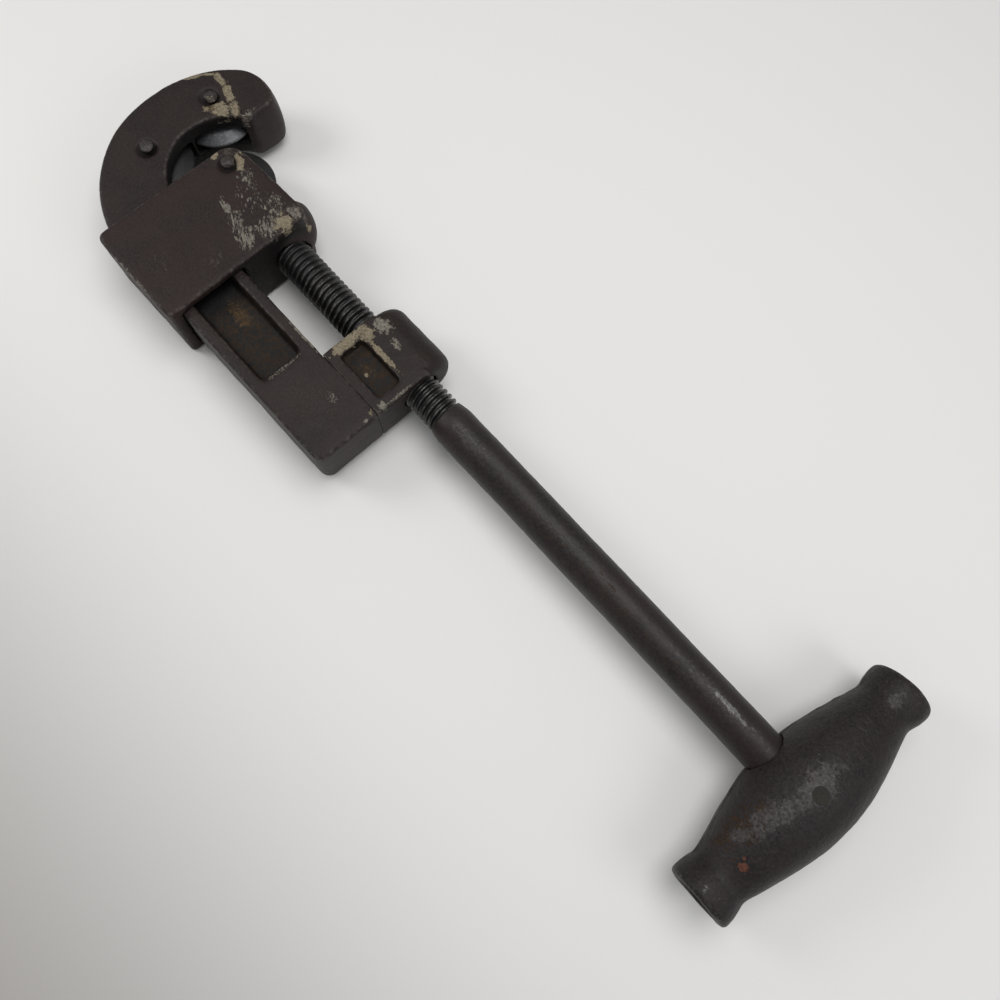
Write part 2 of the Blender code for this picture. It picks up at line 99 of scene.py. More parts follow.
def plate(name, outline, half, edge):
    work = bmesh.new()
    ring = [work.verts.new((x, y, -half)) for x, y in outline]
    base = work.faces.new(ring)
    grown = bmesh.ops.extrude_face_region(work, geom=[base])["geom"]
    raised = [item for item in grown if isinstance(item, bmesh.types.BMVert)]
    bmesh.ops.translate(work, verts=raised, vec=(0, 0, 2 * half))
    rims = [e for e in work.edges if abs(e.verts[0].co.z - e.verts[1].co.z) < 1e-6]
    bmesh.ops.bevel(work, geom=rims, offset=edge, segments=4, profile=0.5, affect="EDGES")
    return objectFrom(name, work)


def block(name, low, high, edge=0.0):
    work = bmesh.new()
    size = [b - a for a, b in zip(low, high)]
    centre = Vector([(a + b) / 2 for a, b in zip(low, high)])
    bmesh.ops.create_cube(work, size=1, matrix=Matrix.Translation(centre) @ Matrix.Diagonal((*size, 1)))
    if edge:
        bmesh.ops.bevel(work, geom=work.edges[:], offset=edge, segments=4, profile=0.5, affect="EDGES")
    return objectFrom(name, work)


def rod(name, radius, length, centre, axis="Z"):
    work = bmesh.new()
    bmesh.ops.create_cone(work, cap_ends=True, segments=64, radius1=radius, radius2=radius, depth=length)
    work.transform(Matrix.Translation(centre) @ axisTurn(axis))
    return objectFrom(name, work)


def axisTurn(axis):
    turns = {"X": Matrix.Rotation(math.pi / 2, 4, "Y"), "Y": Matrix.Rotation(-math.pi / 2, 4, "X")}
    return turns.get(axis, Matrix.Identity(4))


def turned(name, profile, centre, axis="Z", around=96, hollow=False):
    # Profile points are (radius, height); a radius of 0 closes the end on the axis
    work = bmesh.new()
    rings = []
    for radius, height in profile:
        count = around if radius else 1
        angles = [2 * math.pi * step / around for step in range(count)]
        rings.append([work.verts.new((radius * math.cos(a), radius * math.sin(a), height)) for a in angles])
    pairs = list(zip(rings, rings[1:])) + ([(rings[-1], rings[0])] if hollow else [])
    for upper, lower in pairs:
        for step in range(around):
            after = step + 1
            corners = [upper[step % len(upper)], upper[after % len(upper)]]
            corners += [lower[after % len(lower)], lower[step % len(lower)]]
            corners = list(dict.fromkeys(corners))
            if len(corners) > 2:
                work.faces.new(corners)
    work.transform(Matrix.Translation(centre) @ axisTurn(axis))
    return objectFrom(name, work)


def softened(path, radius):
    # Rounds the inner corners of a lathe profile
    points = [path[0]]
    for before, corner, after in zip(path, path[1:], path[2:]):
        reach = min((Vector(before) - Vector(corner)).length, (Vector(after) - Vector(corner)).length)
        points += rounded(corner, before, after, min(radius, reach * 0.3), 4)
    return points + [path[-1]]


def bake(obj):
    bpy.context.view_layer.update()
    graph = bpy.context.evaluated_depsgraph_get()
    mesh = bpy.data.meshes.new_from_object(obj.evaluated_get(graph))
    obj.modifiers.clear()
    obj.data = mesh
    return obj


def carve(obj, others, operation="DIFFERENCE"):
    for other in others:
        boolean = obj.modifiers.new(other.name, "BOOLEAN")
        boolean.operation = operation
        boolean.solver = "EXACT"
        boolean.object = other
    bake(obj)
    for other in others:
        bpy.data.objects.remove(other)


pocketCorner = 2.4


def pocket(name, low, high, floor, draft, lip):
    # A drafted recess from the top face down to a floor, with a chamfered lip on its +X end
    top, flare = high[2], -0.3
    levels = [(floor, draft, 0), (top - lip * 0.6, 0, 0), (top, flare, lip), (top * 1.5, flare, lip)]
    work = bmesh.new()
    rings = []
    for height, inset, reach in levels:
        corners = [
            (low[0] + inset, low[1] + inset), (high[0] - inset + reach, low[1] + inset),
            (high[0] - inset + reach, high[1] - inset), (low[0] + inset, high[1] - inset),
        ]
        outline = []
        for index, corner in enumerate(corners):
            outline += rounded(corner, corners[index - 1], corners[(index + 1) % 4], pocketCorner, 5)
        rings.append([work.verts.new((x, y, height)) for x, y in outline])
    for lower, upper in zip(rings, rings[1:]):
        for step in range(len(lower)):
            after = (step + 1) % len(lower)
            work.faces.new((lower[step], lower[after], upper[after], upper[step]))
    work.faces.new(rings[0])
    work.faces.new(rings[-1])
    return objectFrom(name, work)


def turnedOver(obj):
    # The same cutter for the underside
    obj.data.transform(Matrix.Diagonal((1, 1, -1, 1)))
    obj.data.flip_normals()
    return obj


# ---- surface work on a finished skin

def pointsOf(mesh):
    points = np.empty(len(mesh.vertices) * 3, np.float32)
    mesh.vertices.foreach_get("co", points)
    return points.reshape(-1, 3).astype(np.float64)


def relaxed(mesh, points, rounds):
    edges = np.empty(len(mesh.edges) * 2, np.int32)
    mesh.edges.foreach_get("vertices", edges)
    first, second = edges.reshape(-1, 2).T
    count = len(points)
    links = np.bincount(first, minlength=count) + np.bincount(second, minlength=count)
    for _ in range(rounds):
        near = np.empty_like(points)
        for axis in range(3):
            column = points[:, axis]
            near[:, axis] = np.bincount(first, column[second], count) + np.bincount(second, column[first], count)
        points = points + 0.5 * (near / np.maximum(links, 1)[:, None] - points)
    return points


def normalsOf(mesh):
    normals = np.empty(len(mesh.vertices) * 3, np.float32)
    mesh.vertices.foreach_get("normal", normals)
    return normals.reshape(-1, 3).astype(np.float64)


def write(mesh, points):
    mesh.vertices.foreach_set("co", points.astype(np.float32).ravel())
    mesh.update()


def castSkin(obj, piece, seed):
    # One even skin over all the joined shapes, then the waviness of a casting
    remesh = obj.modifiers.new("Skin", "REMESH")
    remesh.mode = "VOXEL"
    remesh.voxel_size = piece["voxel"]
    bake(obj)
    write(obj.data, relaxed(obj.data, pointsOf(obj.data), 4))
    roughen(obj, piece["waves"], seed)


def roughen(obj, waves, seed):
    # Each wave is (length, height) in millimetres
    mesh = obj.data
    points = pointsOf(mesh)
    lift = np.zeros(len(points))
    for index, (length, height) in enumerate(waves):
        shift = Vector((seed * 17.3 + index * 31.7, seed * 5.9, index * 11.1))
        lift += height * np.array([noise.noise(Vector(point) / length + shift) for point in points])
    write(mesh, points + normalsOf(mesh) * lift[:, None])


def markEdges(obj, rounds=10):
    # Convex edges and hollows as attributes, for wear and dirt
    mesh = obj.data
    points = pointsOf(mesh)
    bulge = ((points - relaxed(mesh, points, rounds)) * normalsOf(mesh)).sum(axis=1)
    for name, side in (("edge", bulge), ("hollow", -bulge)):
        attribute = mesh.attributes.new(name, "FLOAT", "POINT")
        reach = max(np.percentile(side, 97), 1e-4)
        attribute.data.foreach_set("value", np.clip(side / reach, 0, 1).astype(np.float32))
    return obj


def settle(obj, body, slot, material, *nodes):
    obj.data.transform(toRow)
    obj.data.materials.clear()
    obj.data.materials.append(material)
    obj.data.shade_smooth()
    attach(obj, body)
    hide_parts(*nodes)


# ---- node helpers

def add(tree, kind, inputs=None, **settings):
    node = tree.nodes.new(kind)
    for name, value in settings.items():
        setattr(node, name, value)
    for name, value in (inputs or {}).items():
        if isinstance(value, bpy.types.NodeSocket):
            tree.links.new(value, node.inputs[name])
        else:
            node.inputs[name].default_value = value
    return node


def calc(tree, operation, *values, clamp=False):
    inputs = dict(enumerate(values))
    return add(tree, "ShaderNodeMath", inputs, operation=operation, use_clamp=clamp).outputs[0]


def vectorCalc(tree, operation, *values):
    return add(tree, "ShaderNodeVectorMath", dict(enumerate(values)), operation=operation).outputs[0]


def scaled(tree, vector, factor):
    return add(tree, "ShaderNodeVectorMath", {0: vector, 3: factor}, operation="SCALE").outputs[0]


def smooth(tree, value, low, high):
    inputs = {"Value": value, "From Min": low, "From Max": high}
    return add(tree, "ShaderNodeMapRange", inputs, interpolation_type="SMOOTHSTEP").outputs[0]


def mixed(tree, factor, first, second):
    inputs = {0: factor, 6: first, 7: second}
    return add(tree, "ShaderNodeMix", inputs, data_type="RGBA").outputs[2]


def blended(tree, factor, first, second):
    return add(tree, "ShaderNodeMix", {0: factor, 2: first, 3: second}).outputs[0]


def mottle(tree, vector, size, detail, roughness):
    inputs = {"Vector": vector, "Scale": 1 / size, "Detail": detail, "Roughness": roughness}
    return add(tree, "ShaderNodeTexNoise", inputs).outputs["Fac"]


def newGroup(name, inputs, outputs):
    group = bpy.data.node_groups.new(name, "ShaderNodeTree")
    for label, value in inputs.items():
        kind = "NodeSocketVector" if isinstance(value, tuple) else "NodeSocketFloat"
        group.interface.new_socket(label, in_out="INPUT", socket_type=kind).default_value = value
    for label in outputs:
        group.interface.new_socket(label, in_out="OUTPUT", socket_type="NodeSocketFloat")
    return group, group.nodes.new("NodeGroupInput").outputs, group.nodes.new("NodeGroupOutput").inputs


# ---- shared effects, with sizes in millimetres

grainLook = {"fine": 1.0, "broad": 14.0, "pitsPerMm": 0.42, "speck": 0.55, "fineHeight": 0.75, "pitHeight": 0.3}
patchLook = {
    "outline": 3.5, "holes": 0.3, "chips": 1.6, "limit": 0.78, "gain": 0.42, "holeShare": 0.7, "softness": 0.05,
}
wearLook = {"unevenness": 1.3, "from": 0.5, "to": 0.95}


def makeCastGrain():
    inputs = {"Vector": (0, 0, 0), "Grain Size": 1.1}
    group, given, result = newGroup("castGrain", inputs, ("Height", "Broad", "Fine", "Speck"))
    local = scaled(group, given["Vector"], calc(group, "DIVIDE", 1.0, given["Grain Size"]))
    fine = mottle(group, local, grainLook["fine"], 5.0, 0.62)
    broad = mottle(group, local, grainLook["broad"], 4.0, 0.6)
    cells = {"Vector": local, "Scale": grainLook["pitsPerMm"]}
    pits = smooth(group, add(group, "ShaderNodeTexVoronoi", cells).outputs["Distance"], 0.05, 0.32)
    speck = smooth(group, mottle(group, local, grainLook["speck"], 2.0, 0.7), 0.6, 0.74)
    fineHeight = calc(group, "MULTIPLY", fine, grainLook["fineHeight"])
    height = calc(group, "ADD", fineHeight, calc(group, "MULTIPLY", pits, grainLook["pitHeight"]))
    for name, value in (("Height", height), ("Broad", broad), ("Fine", fine), ("Speck", speck)):
        group.links.new(value, result[name])
    return group


def makePatch():
    # An oval of chips with a ragged outline, laid on the faces above a height
    inputs = {
        "Vector": (0, 0, 0), "Centre": (0, 0, 0), "Half Size": (1, 1, 1), "Turn": 0.0, "Chip Size": 1.0,
        "Stretch": 1.0, "Coverage": 1.0, "Lowest Z": -100.0, "Softness": patchLook["softness"],
    }
    group, given, result = newGroup("patch", inputs, ("Mask",))
    local = vectorCalc(group, "SUBTRACT", given["Vector"], given["Centre"])
    back = calc(group, "MULTIPLY", calc(group, "RADIANS", given["Turn"]), -1.0)
    turn = {"Vector": local, "Angle": back}
    local = add(group, "ShaderNodeVectorRotate", turn, rotation_type="Z_AXIS").outputs[0]
    share = vectorCalc(group, "MULTIPLY", vectorCalc(group, "DIVIDE", local, given["Half Size"]), (1, 1, 0))
    reach = add(group, "ShaderNodeVectorMath", {0: share}, operation="LENGTH").outputs["Value"]
    ragged = calc(group, "SUBTRACT", mottle(group, local, patchLook["outline"], 6.0, 0.7), 0.5)
    reach = calc(group, "ADD", reach, calc(group, "MULTIPLY", ragged, 2.0))
    inside = calc(group, "SUBTRACT", 1.0, smooth(group, reach, 0.3, 1.25))
    stretch = add(group, "ShaderNodeCombineXYZ", {0: given["Stretch"], 1: 1.0, 2: 1.0}).outputs[0]
    perChip = calc(group, "DIVIDE", 1.0, given["Chip Size"])
    grain = scaled(group, vectorCalc(group, "DIVIDE", local, stretch), perChip)
    holes = smooth(group, mottle(group, grain, patchLook["holes"], 3.0, 0.6), 0.56, 0.66)
    chips = mottle(group, grain, patchLook["chips"], 7.0, 0.74)
    covered = calc(group, "MULTIPLY", inside, given["Coverage"])
    limit = calc(group, "SUBTRACT", patchLook["limit"], calc(group, "MULTIPLY", covered, patchLook["gain"]))
    over = calc(group, "DIVIDE", calc(group, "SUBTRACT", chips, limit), given["Softness"])
    kept = calc(group, "SUBTRACT", 1.0, calc(group, "MULTIPLY", holes, patchLook["holeShare"]))
    over = calc(group, "MULTIPLY", over, kept, clamp=True)
    height = add(group, "ShaderNodeSeparateXYZ", {0: given["Vector"]}).outputs["Z"]
    mask = calc(group, "MULTIPLY", over, calc(group, "GREATER_THAN", height, given["Lowest Z"]))
    group.links.new(calc(group, "MULTIPLY", mask, smooth(group, inside, 0.0, 0.12)), result["Mask"])
    return group


def makeEdgeWear():
    inputs = {"Vector": (0, 0, 0), "Edge": 0.0, "Amount": 1.0, "Grain Size": 2.0}
    group, given, result = newGroup("edgeWear", inputs, ("Mask",))
    local = scaled(group, given["Vector"], calc(group, "DIVIDE", 1.0, given["Grain Size"]))
    uneven = calc(group, "SUBTRACT", mottle(group, local, 1.0, 4.0, 0.65), 0.5)
    uneven = calc(group, "MULTIPLY", uneven, wearLook["unevenness"])
    worn = calc(group, "ADD", calc(group, "MULTIPLY", given["Edge"], given["Amount"]), uneven)
    group.links.new(smooth(group, worn, wearLook["from"], wearLook["to"]), result["Mask"])
    return group


def makeBoxMask():
    inputs = {"Vector": (0, 0, 0), "Low": (-1, -1, -1), "High": (1, 1, 1), "Soft": 0.5, "Mottling": 0.0}
    group, given, result = newGroup("boxMask", inputs, ("Mask",))
    half = scaled(group, vectorCalc(group, "SUBTRACT", given["High"], given["Low"]), 0.5)
    centre = vectorCalc(group, "ADD", given["Low"], half)
    away = vectorCalc(group, "ABSOLUTE", vectorCalc(group, "SUBTRACT", given["Vector"], centre))
    past = add(group, "ShaderNodeSeparateXYZ", {0: vectorCalc(group, "SUBTRACT", away, half)}).outputs
    furthest = calc(group, "MAXIMUM", calc(group, "MAXIMUM", past["X"], past["Y"]), past["Z"])
    share = calc(group, "DIVIDE", furthest, given["Soft"])
    mask = calc(group, "SUBTRACT", 0.5, share, clamp=True)
    spots = smooth(group, mottle(group, given["Vector"], 3.0, 5.0, 0.65), 0.40, 0.60)
    bare = calc(group, "MULTIPLY", calc(group, "SUBTRACT", 1.0, spots), given["Mottling"])
    group.links.new(calc(group, "MULTIPLY", mask, calc(group, "SUBTRACT", 1.0, bare)), result["Mask"])
    return group


castGrain = makeCastGrain()
patch = makePatch()
edgeWear = makeEdgeWear()
boxMask = makeBoxMask()

# Old paint, rust, dirt and bare metal, and black for painted shade, shared by all the pieces
remainsAndShade = {
    "cream": {"colour": (0.29, 0.24, 0.165, 1), "roughness": 0.75, "metal": 0.0, "thick": 0.9},
    "chalk": {"colour": (0.25, 0.225, 0.185, 1), "roughness": 0.75, "metal": 0.0, "thick": 0.5},
    "scuff": {"colour": (0.084, 0.075, 0.075, 1), "roughness": 0.42, "metal": 0.3, "thick": 0.0, "soft": 0.19},
    "steel": {"colour": (0.20, 0.195, 0.195, 1), "roughness": 0.38, "metal": 0.5, "thick": -0.2, "soft": 0.13},
    "rust": {"colour": (0.042, 0.024, 0.0125, 1), "roughness": 0.85, "metal": 0.0, "thick": 0.0},
    "orange": {"colour": (0.13, 0.050, 0.031, 1), "roughness": 0.8, "metal": 0.0, "thick": 0.4},
    "ochre": {"colour": (0.100, 0.060, 0.027, 1), "roughness": 0.85, "metal": 0.0, "thick": 0.0, "soft": 0.15},
    "dust": {"colour": (0.085, 0.070, 0.055, 1), "roughness": 0.9, "metal": 0.0, "thick": 0.0},
    # black is painted shade in recesses, on a face turned from the light and round a pin head; on the screw's thread
    # it is grime
    "black": {"colour": (0.0045, 0.0042, 0.004, 1), "roughness": 0.6, "metal": 0.0, "thick": 0.0},
}
deepShare = 0.42  # how dark a finish is in its lows
plainLook = {"gloss": 0.3, "dirt": 0.6, "metal": 0.0, "wearShare": 0.7}


def metalMaterial(name, look, patches=(), boxes=()):
    # Patches are (kind, centre, half size, turn, chip, stretch, coverage, lowest Z)
    # Boxes are (kind, share, low, high, softness, mottling)
    look = {**plainLook, **look}
    material = bpy.data.materials.new(name)
    material.use_nodes = True
    tree = material.node_tree
    shader = tree.nodes["Principled BSDF"]
    shader.inputs["Specular IOR Level"].default_value = look["gloss"]
    source = add(tree, "ShaderNodeTexCoord").outputs["Object"]
    inputs = {"Vector": source, "Location": tuple(-datum * 1000), "Scale": (1000, 1000, 1000)}
    position = add(tree, "ShaderNodeMapping", inputs).outputs[0]
    edge = add(tree, "ShaderNodeAttribute", attribute_name="edge").outputs["Fac"]
    hollow = add(tree, "ShaderNodeAttribute", attribute_name="hollow").outputs["Fac"]
    grain = add(tree, "ShaderNodeGroup", node_tree=castGrain)
    grain.inputs["Grain Size"].default_value = look["grain"]
    tree.links.new(position, grain.inputs["Vector"])
    cast = grain.outputs

    colour = mixed(tree, smooth(tree, cast["Broad"], 0.36, 0.64), look["dark"], look["brown"])
    colour = mixed(tree, smooth(tree, cast["Fine"], 0.3, 0.72), colour, look["light"])
    colour = mixed(tree, calc(tree, "MULTIPLY", hollow, look["dirt"]), colour, look["dark"])
    colour = mixed(tree, calc(tree, "MULTIPLY", cast["Speck"], look["specks"]), colour, look["worn"])
    rough = calc(tree, "ADD", look["roughness"], calc(tree, "MULTIPLY", cast["Fine"], 0.12))
    metal = look["metal"]
    height = cast["Height"]

    inputs = {"Vector": position, "Edge": edge, "Amount": look["wear"]}
    wear = add(tree, "ShaderNodeGroup", inputs, node_tree=edgeWear)
    wear = calc(tree, "MULTIPLY", wear.outputs[0], look["wearShare"])
    colour = mixed(tree, wear, colour, look["worn"])
    rough = calc(tree, "SUBTRACT", rough, calc(tree, "MULTIPLY", wear, 0.12))

    layers = []
    for kind, share, *values in boxes:
        layers.append((boxMask, kind, dict(zip(("Low", "High", "Soft", "Mottling"), values)), share))
    for kind, centre, half, turn, chip, stretch, coverage, lowest in patches:
        values = {
            "Centre": (*centre, 0), "Half Size": (*half, 1), "Turn": turn, "Chip Size": chip, "Stretch": stretch,
            "Coverage": coverage, "Lowest Z": lowest, "Softness": remainsAndShade[kind].get("soft", patchLook["softness"]),
        }
        layers.append((patch, kind, values, 1.0))
    for group, kind, values, share in layers:
        finish = remainsAndShade[kind]
        mask = add(tree, "ShaderNodeGroup", node_tree=group)
        tree.links.new(position, mask.inputs["Vector"])
        for label, value in values.items():
            mask.inputs[label].default_value = value
        amount = calc(tree, "MULTIPLY", mask.outputs[0], share)
        deep = [part * deepShare for part in finish["colour"][:3]] + [1]
        tint = mixed(tree, smooth(tree, cast["Fine"], 0.25, 0.75), deep, finish["colour"])
        colour = mixed(tree, amount, colour, tint)
        rough = blended(tree, amount, rough, finish["roughness"])
        metal = blended(tree, amount, metal, finish["metal"])
        if finish["thick"]:
            height = calc(tree, "ADD", height, calc(tree, "MULTIPLY", amount, finish["thick"]))

    relief = {"Height": height, "Strength": 1.0, "Distance": look["relief"] * 0.001}
    normal = add(tree, "ShaderNodeBump", relief).outputs[0]
    for label, value in (("Base Color", colour), ("Roughness", rough), ("Metallic", metal), ("Normal", normal)):
        if isinstance(value, float):
            shader.inputs[label].default_value = value
        else:
            tree.links.new(value, shader.inputs[label])
    return material


# ---- frame

hook = {
    "centre": (-96.5, 2.5), "throat": 27.8, "throatRoot": 26.0, "reach": 53.8,
    "tipRadius": 18.2, "tipTurn": 138, "tipFace": -110.8, "tipCorner": 6.0, "tipInnerCorner": 4.0, "tipSwell": 1.9,
    "edge": 1.5, "corner": 5.0, "voxel": 0.72, "waves": [(22, 0.25), (7, 0.16), (2.4, 0.05)],
}
shank = {
    "near": -22.95, "rail": 5.6, "pocketTop": -96.0, "pocketEnd": -7.7, "pocketDepth": 7.0, "draft": 0.8, "lip": 2.2,
}
wheelSlot = {"half": 5.4, "gap": 1.5}
dimple = {"radius": 5.0, "depth": 1.5, "shift": (0.8, -0.4, 0)}


def hookOutline(shankFar, frameEnd):
    centre, reach = hook["centre"], hook["reach"]
    tip = polar(centre, reach - hook["tipRadius"], hook["tipTurn"])
    topCorner = polar(tip, hook["tipRadius"], 62)
    faceTop = (hook["tipFace"], topCorner[1] - hook["tipRadius"] * 0.08)
    swing = math.degrees(math.acos((hook["tipFace"] - centre[0]) / hook["throat"]))
    inner = polar(centre, hook["throat"], swing)
    rootRadius = (centre[1] - shankFar) / math.sin(math.radians(82))
    nearReach = (centre[1] - shank["near"]) / hook["throatRoot"]
    nearSwing = 360 - math.degrees(math.acos(-math.sqrt(1 - nearReach**2)))
    points = rounded((frameEnd, shankFar), (0, shankFar), (frameEnd, shank["near"]), hook["corner"])
    points.append((frameEnd, shank["near"]))
    points += arc(centre, (hook["throatRoot"], hook["throat"]), (nearSwing, 190), 14)
    points += arc(centre, (hook["throat"],) * 2, (186, swing + 10), 16)
    points += rounded(inner, polar(centre, hook["throat"], swing + 12), faceTop, hook["tipInnerCorner"])
    points += rounded(faceTop, inner, topCorner, hook["tipCorner"])
    points += arc(tip, (hook["tipRadius"],) * 2, (68, hook["tipTurn"]), 14)
    points += arc(centre, (reach,) * 2, (hook["tipTurn"] + 3, 180), 12)
    points += arc(centre, (reach, rootRadius), (183, 262), 24)
    return points


def makeFrame():
    low, high = cornersOf("frame")
    obj = plate("hookFrame", hookOutline(low.y, high.x), high.z, hook["edge"])
    start = (shank["pocketTop"], low.y + shank["rail"], 0)
    end = (shank["pocketEnd"], shank["near"] - shank["rail"], high.z)
    cuts = []
    for side in ("top", "under"):
        recess = pocket(side + "Pocket", start, end, high.z - shank["pocketDepth"], shank["draft"], shank["lip"])
        cuts.append(recess if side == "top" else turnedOver(recess))
    for node in ("wheel_1", "wheel_2"):
        radius = (cornersOf(node)[1].x - cornersOf(node)[0].x) / 2 + wheelSlot["gap"]
        cuts.append(rod(node + "Slot", radius, 2 * wheelSlot["half"], middleOf(node)))
    carve(obj, cuts)
    carve(obj, dimples("wheel_pin_1", high.z) + dimples("wheel_pin_2", high.z))
    nutLow = cornersOf("nut_block")[0]
    seat = block("seat", (nutLow.x + 0.5, shank["near"] - 3, -high.z), (high.x - 0.1, shank["near"], high.z))
    carve(obj, [seat], "UNION")
    castSkin(obj, hook, 1)
    swellTip(obj)
    markEdges(obj)
    return obj


def dimples(node, half):
    # Hammered hollows round a pin's two ends
    centre = middleOf(node) + Vector(dimple["shift"])
    reach, floor = dimple["radius"], half - dimple["depth"]
    path = [(0, floor), (reach * 0.8, floor), (reach, half + 0.2), (reach, half + 6), (0, half + 6)]
    upper = turned(node + "Upper", path, centre, "Z", 32)
    under = turnedOver(turned(node + "Under", path, centre, "Z", 32))
    return [upper, under]


def swellTip(obj):
    # The cast tip bulges a little at half its thickness
    middle = polar(hook["centre"], hook["reach"] - hook["tipRadius"], hook["tipTurn"])
    points = pointsOf(obj.data)
    away = points[:, :2] - middle
    swing = np.degrees(np.arctan2(away[:, 1], away[:, 0]))
    reach = np.linalg.norm(away, axis=1)
    share = np.clip((swing + 25) / 60, 0, 1) * np.clip((130 - swing) / 50, 0, 1) * np.clip((reach - 6) / 8, 0, 1)
    share *= np.clip(1 - ((points[:, 2] + 3) / 15) ** 2, 0, 1) * hook["tipSwell"]
    points[:, :2] += away / reach[:, None] * share[:, None]
    write(obj.data, points)


frameLook = {
    "dark": (0.0072, 0.0055, 0.0052, 1), "brown": (0.0165, 0.0094, 0.0080, 1), "light": (0.0245, 0.0158, 0.0138, 1),
    "worn": (0.085, 0.074, 0.066, 1), "roughness": 0.48, "grain": 1.1, "relief": 0.18, "wear": 0.7, "specks": 0.3,
}
frameTop = 11.5
framePatches = [
    ("cream", (-145.4, 20.8), (5.6, 1.6), 64, 0.7, 1.0, 1.3, frameTop),
    ("cream", (-142.0, 26.6), (5.2, 1.1), 55, 0.6, 1.0, 1.15, frameTop),
    ("cream", (-136.0, 29.4), (5.5, 2.4), -4, 0.6, 1.0, 1.1, frameTop),
    ("cream", (-127.5, 27.6), (8.0, 3.0), -18, 0.6, 1.0, 1.1, frameTop),
    ("cream", (-119.0, 24.6), (5.5, 3.6), -24, 0.5, 1.0, 1.05, frameTop),
    ("cream", (-123.6, 19.4), (6.2, 5.0), 35, 0.8, 1.0, 1.35, 9.0),
    ("cream", (-127.4, 15.0), (2.8, 2.2), 45, 0.6, 1.0, 1.1, 9.0),
    ("ochre", (-126.6, 16.6), (4.2, 3.0), 45, 0.6, 1.0, 0.95, 9.0),
    ("ochre", (-41.0, -36.5), (12.0, 5.6), 0, 0.7, 1.0, 0.9, 4.0),
    ("chalk", (-113.0, 27.0), (2.6, 7.5), 10, 0.6, 1.6, 0.75, 7.0),
    ("chalk", (-13.0, -23.7), (15.0, 1.0), 0, 1.0, 2.5, 1.0, 8.0),
    ("chalk", (35.2, -28.6), (1.2, 1.5), 0, 0.6, 1.0, 1.2, frameTop - 1),
    ("cream", (33.5, -24.8), (2.6, 2.2), 0, 0.5, 1.0, 0.8, frameTop),
    ("chalk", (18.0, -32.5), (4.5, 3.5), 0, 0.4, 1.0, 0.7, frameTop),
    ("chalk", (-6.2, -39.0), (2.0, 12.0), 0, 0.5, 1.0, 0.75, frameTop - 1),
    ("dust", (16.0, -40.0), (26.0, 14.0), 0, 0.35, 1.0, 0.5, frameTop),
]
frameBoxes = [
    # painted shade on the throat's inner walls
    ("black", 0.9, (-127.0, -24.0, -12.0), (-97.0, 24.0, 12.0), 1.4, 0.1),
    # painted shade over the shank's recesses
    ("black", 0.95, (-94.5, -49.0, -11.5), (-9.0, -29.0, 11.5), 1.5, 0.0),
    ("rust", 0.85, (-48.0, -49.0, -11.0), (-10.0, -29.5, 11.0), 5.0, 1.0),
]

frameMaterial = metalMaterial("frameIron", frameLook, framePatches, frameBoxes)
settle(makeFrame(), "frame", "frame", frameMaterial, "frame")
print("frame done")


# ---- nut block

nutBlock = {
    "roundY": 5.4, "corner": 5.0, "edge": 0.9, "overlap": 0.3, "voxel": 0.5,
    "pocketStart": 5.6, "pocketEnd": 31.2, "pocketFar": -18.4, "pocketNear": -5.7, "pocketDepth": 4.5,
    "bore": 9.1, "waves": [(18, 0.2), (6, 0.13), (2.0, 0.06)],
}


def makeNut():
    high = cornersOf("nut_block")[1]
    half, end = high.z, high.x
    far = shank["near"] - nutBlock["overlap"]
    obj = block("nutBlock", (0, far, -half), (end, nutBlock["roundY"], half), nutBlock["edge"])
    corner = nutBlock["corner"]
    profile = [(0, end), *rounded((half, end), (0, end), (half, 0), corner)]
    profile += [*rounded((half, 0), (half, end), (0, 0), corner), (0, 0)]
    seat = block("seat", (0.4, far, -half), (end - 0.2, far + 3, half))
    carve(obj, [seat, turned("roundSide", profile, (0, nutBlock["roundY"], 0), "X")], "UNION")
    start = (nutBlock["pocketStart"], nutBlock["pocketFar"], 0)
    finish = (nutBlock["pocketEnd"], nutBlock["pocketNear"], half)
    cuts = [rod("bore", nutBlock["bore"], end * 3, (0, 0, 0), "X")]
    for side in ("top", "under"):
        recess = pocket(side + "Pocket", start, finish, half - nutBlock["pocketDepth"], 0.4, 0.6)
        cuts.append(recess if side == "top" else turnedOver(recess))
    carve(obj, cuts)
    castSkin(obj, nutBlock, 2)
    markEdges(obj)
    return obj


nutLook = dict(
    frameLook, dark=(0.0070, 0.0051, 0.0046, 1), brown=(0.0135, 0.0075, 0.0062, 1), light=(0.0210, 0.0135, 0.0112, 1),
)
nutPatches = [
    ("cream", (2.8, -11.0), (3.6, 12.5), 0, 0.6, 1.0, 1.25, 9.5),
    ("cream", (5.6, -3.0), (4.6, 5.0), 0, 0.6, 1.0, 1.2, 10.5),
    ("cream", (17.0, -4.1), (14.0, 1.7), 0, 0.6, 1.0, 1.2, 10.5),
    ("chalk", (7.0, 4.6), (6.5, 5.0), 20, 0.6, 1.8, 1.0, 8.0),
    ("chalk", (17.5, 3.4), (4.4, 2.8), 0, 0.5, 1.0, 0.9, 8.0),
    ("chalk", (35.7, -12.0), (1.3, 10.0), 0, 0.5, 1.0, 0.85, 9.0),
    ("chalk", (34.6, -19.2), (2.8, 2.6), 0, 0.6, 1.0, 1.1, 10.5),
    ("ochre", (18.1, -12.6), (9.0, 4.0), 0, 0.6, 1.0, 0.72, 6.0),
    ("cream", (18.1, -14.6), (1.6, 1.3), 0, 0.6, 1.0, 1.0, 6.0),
]
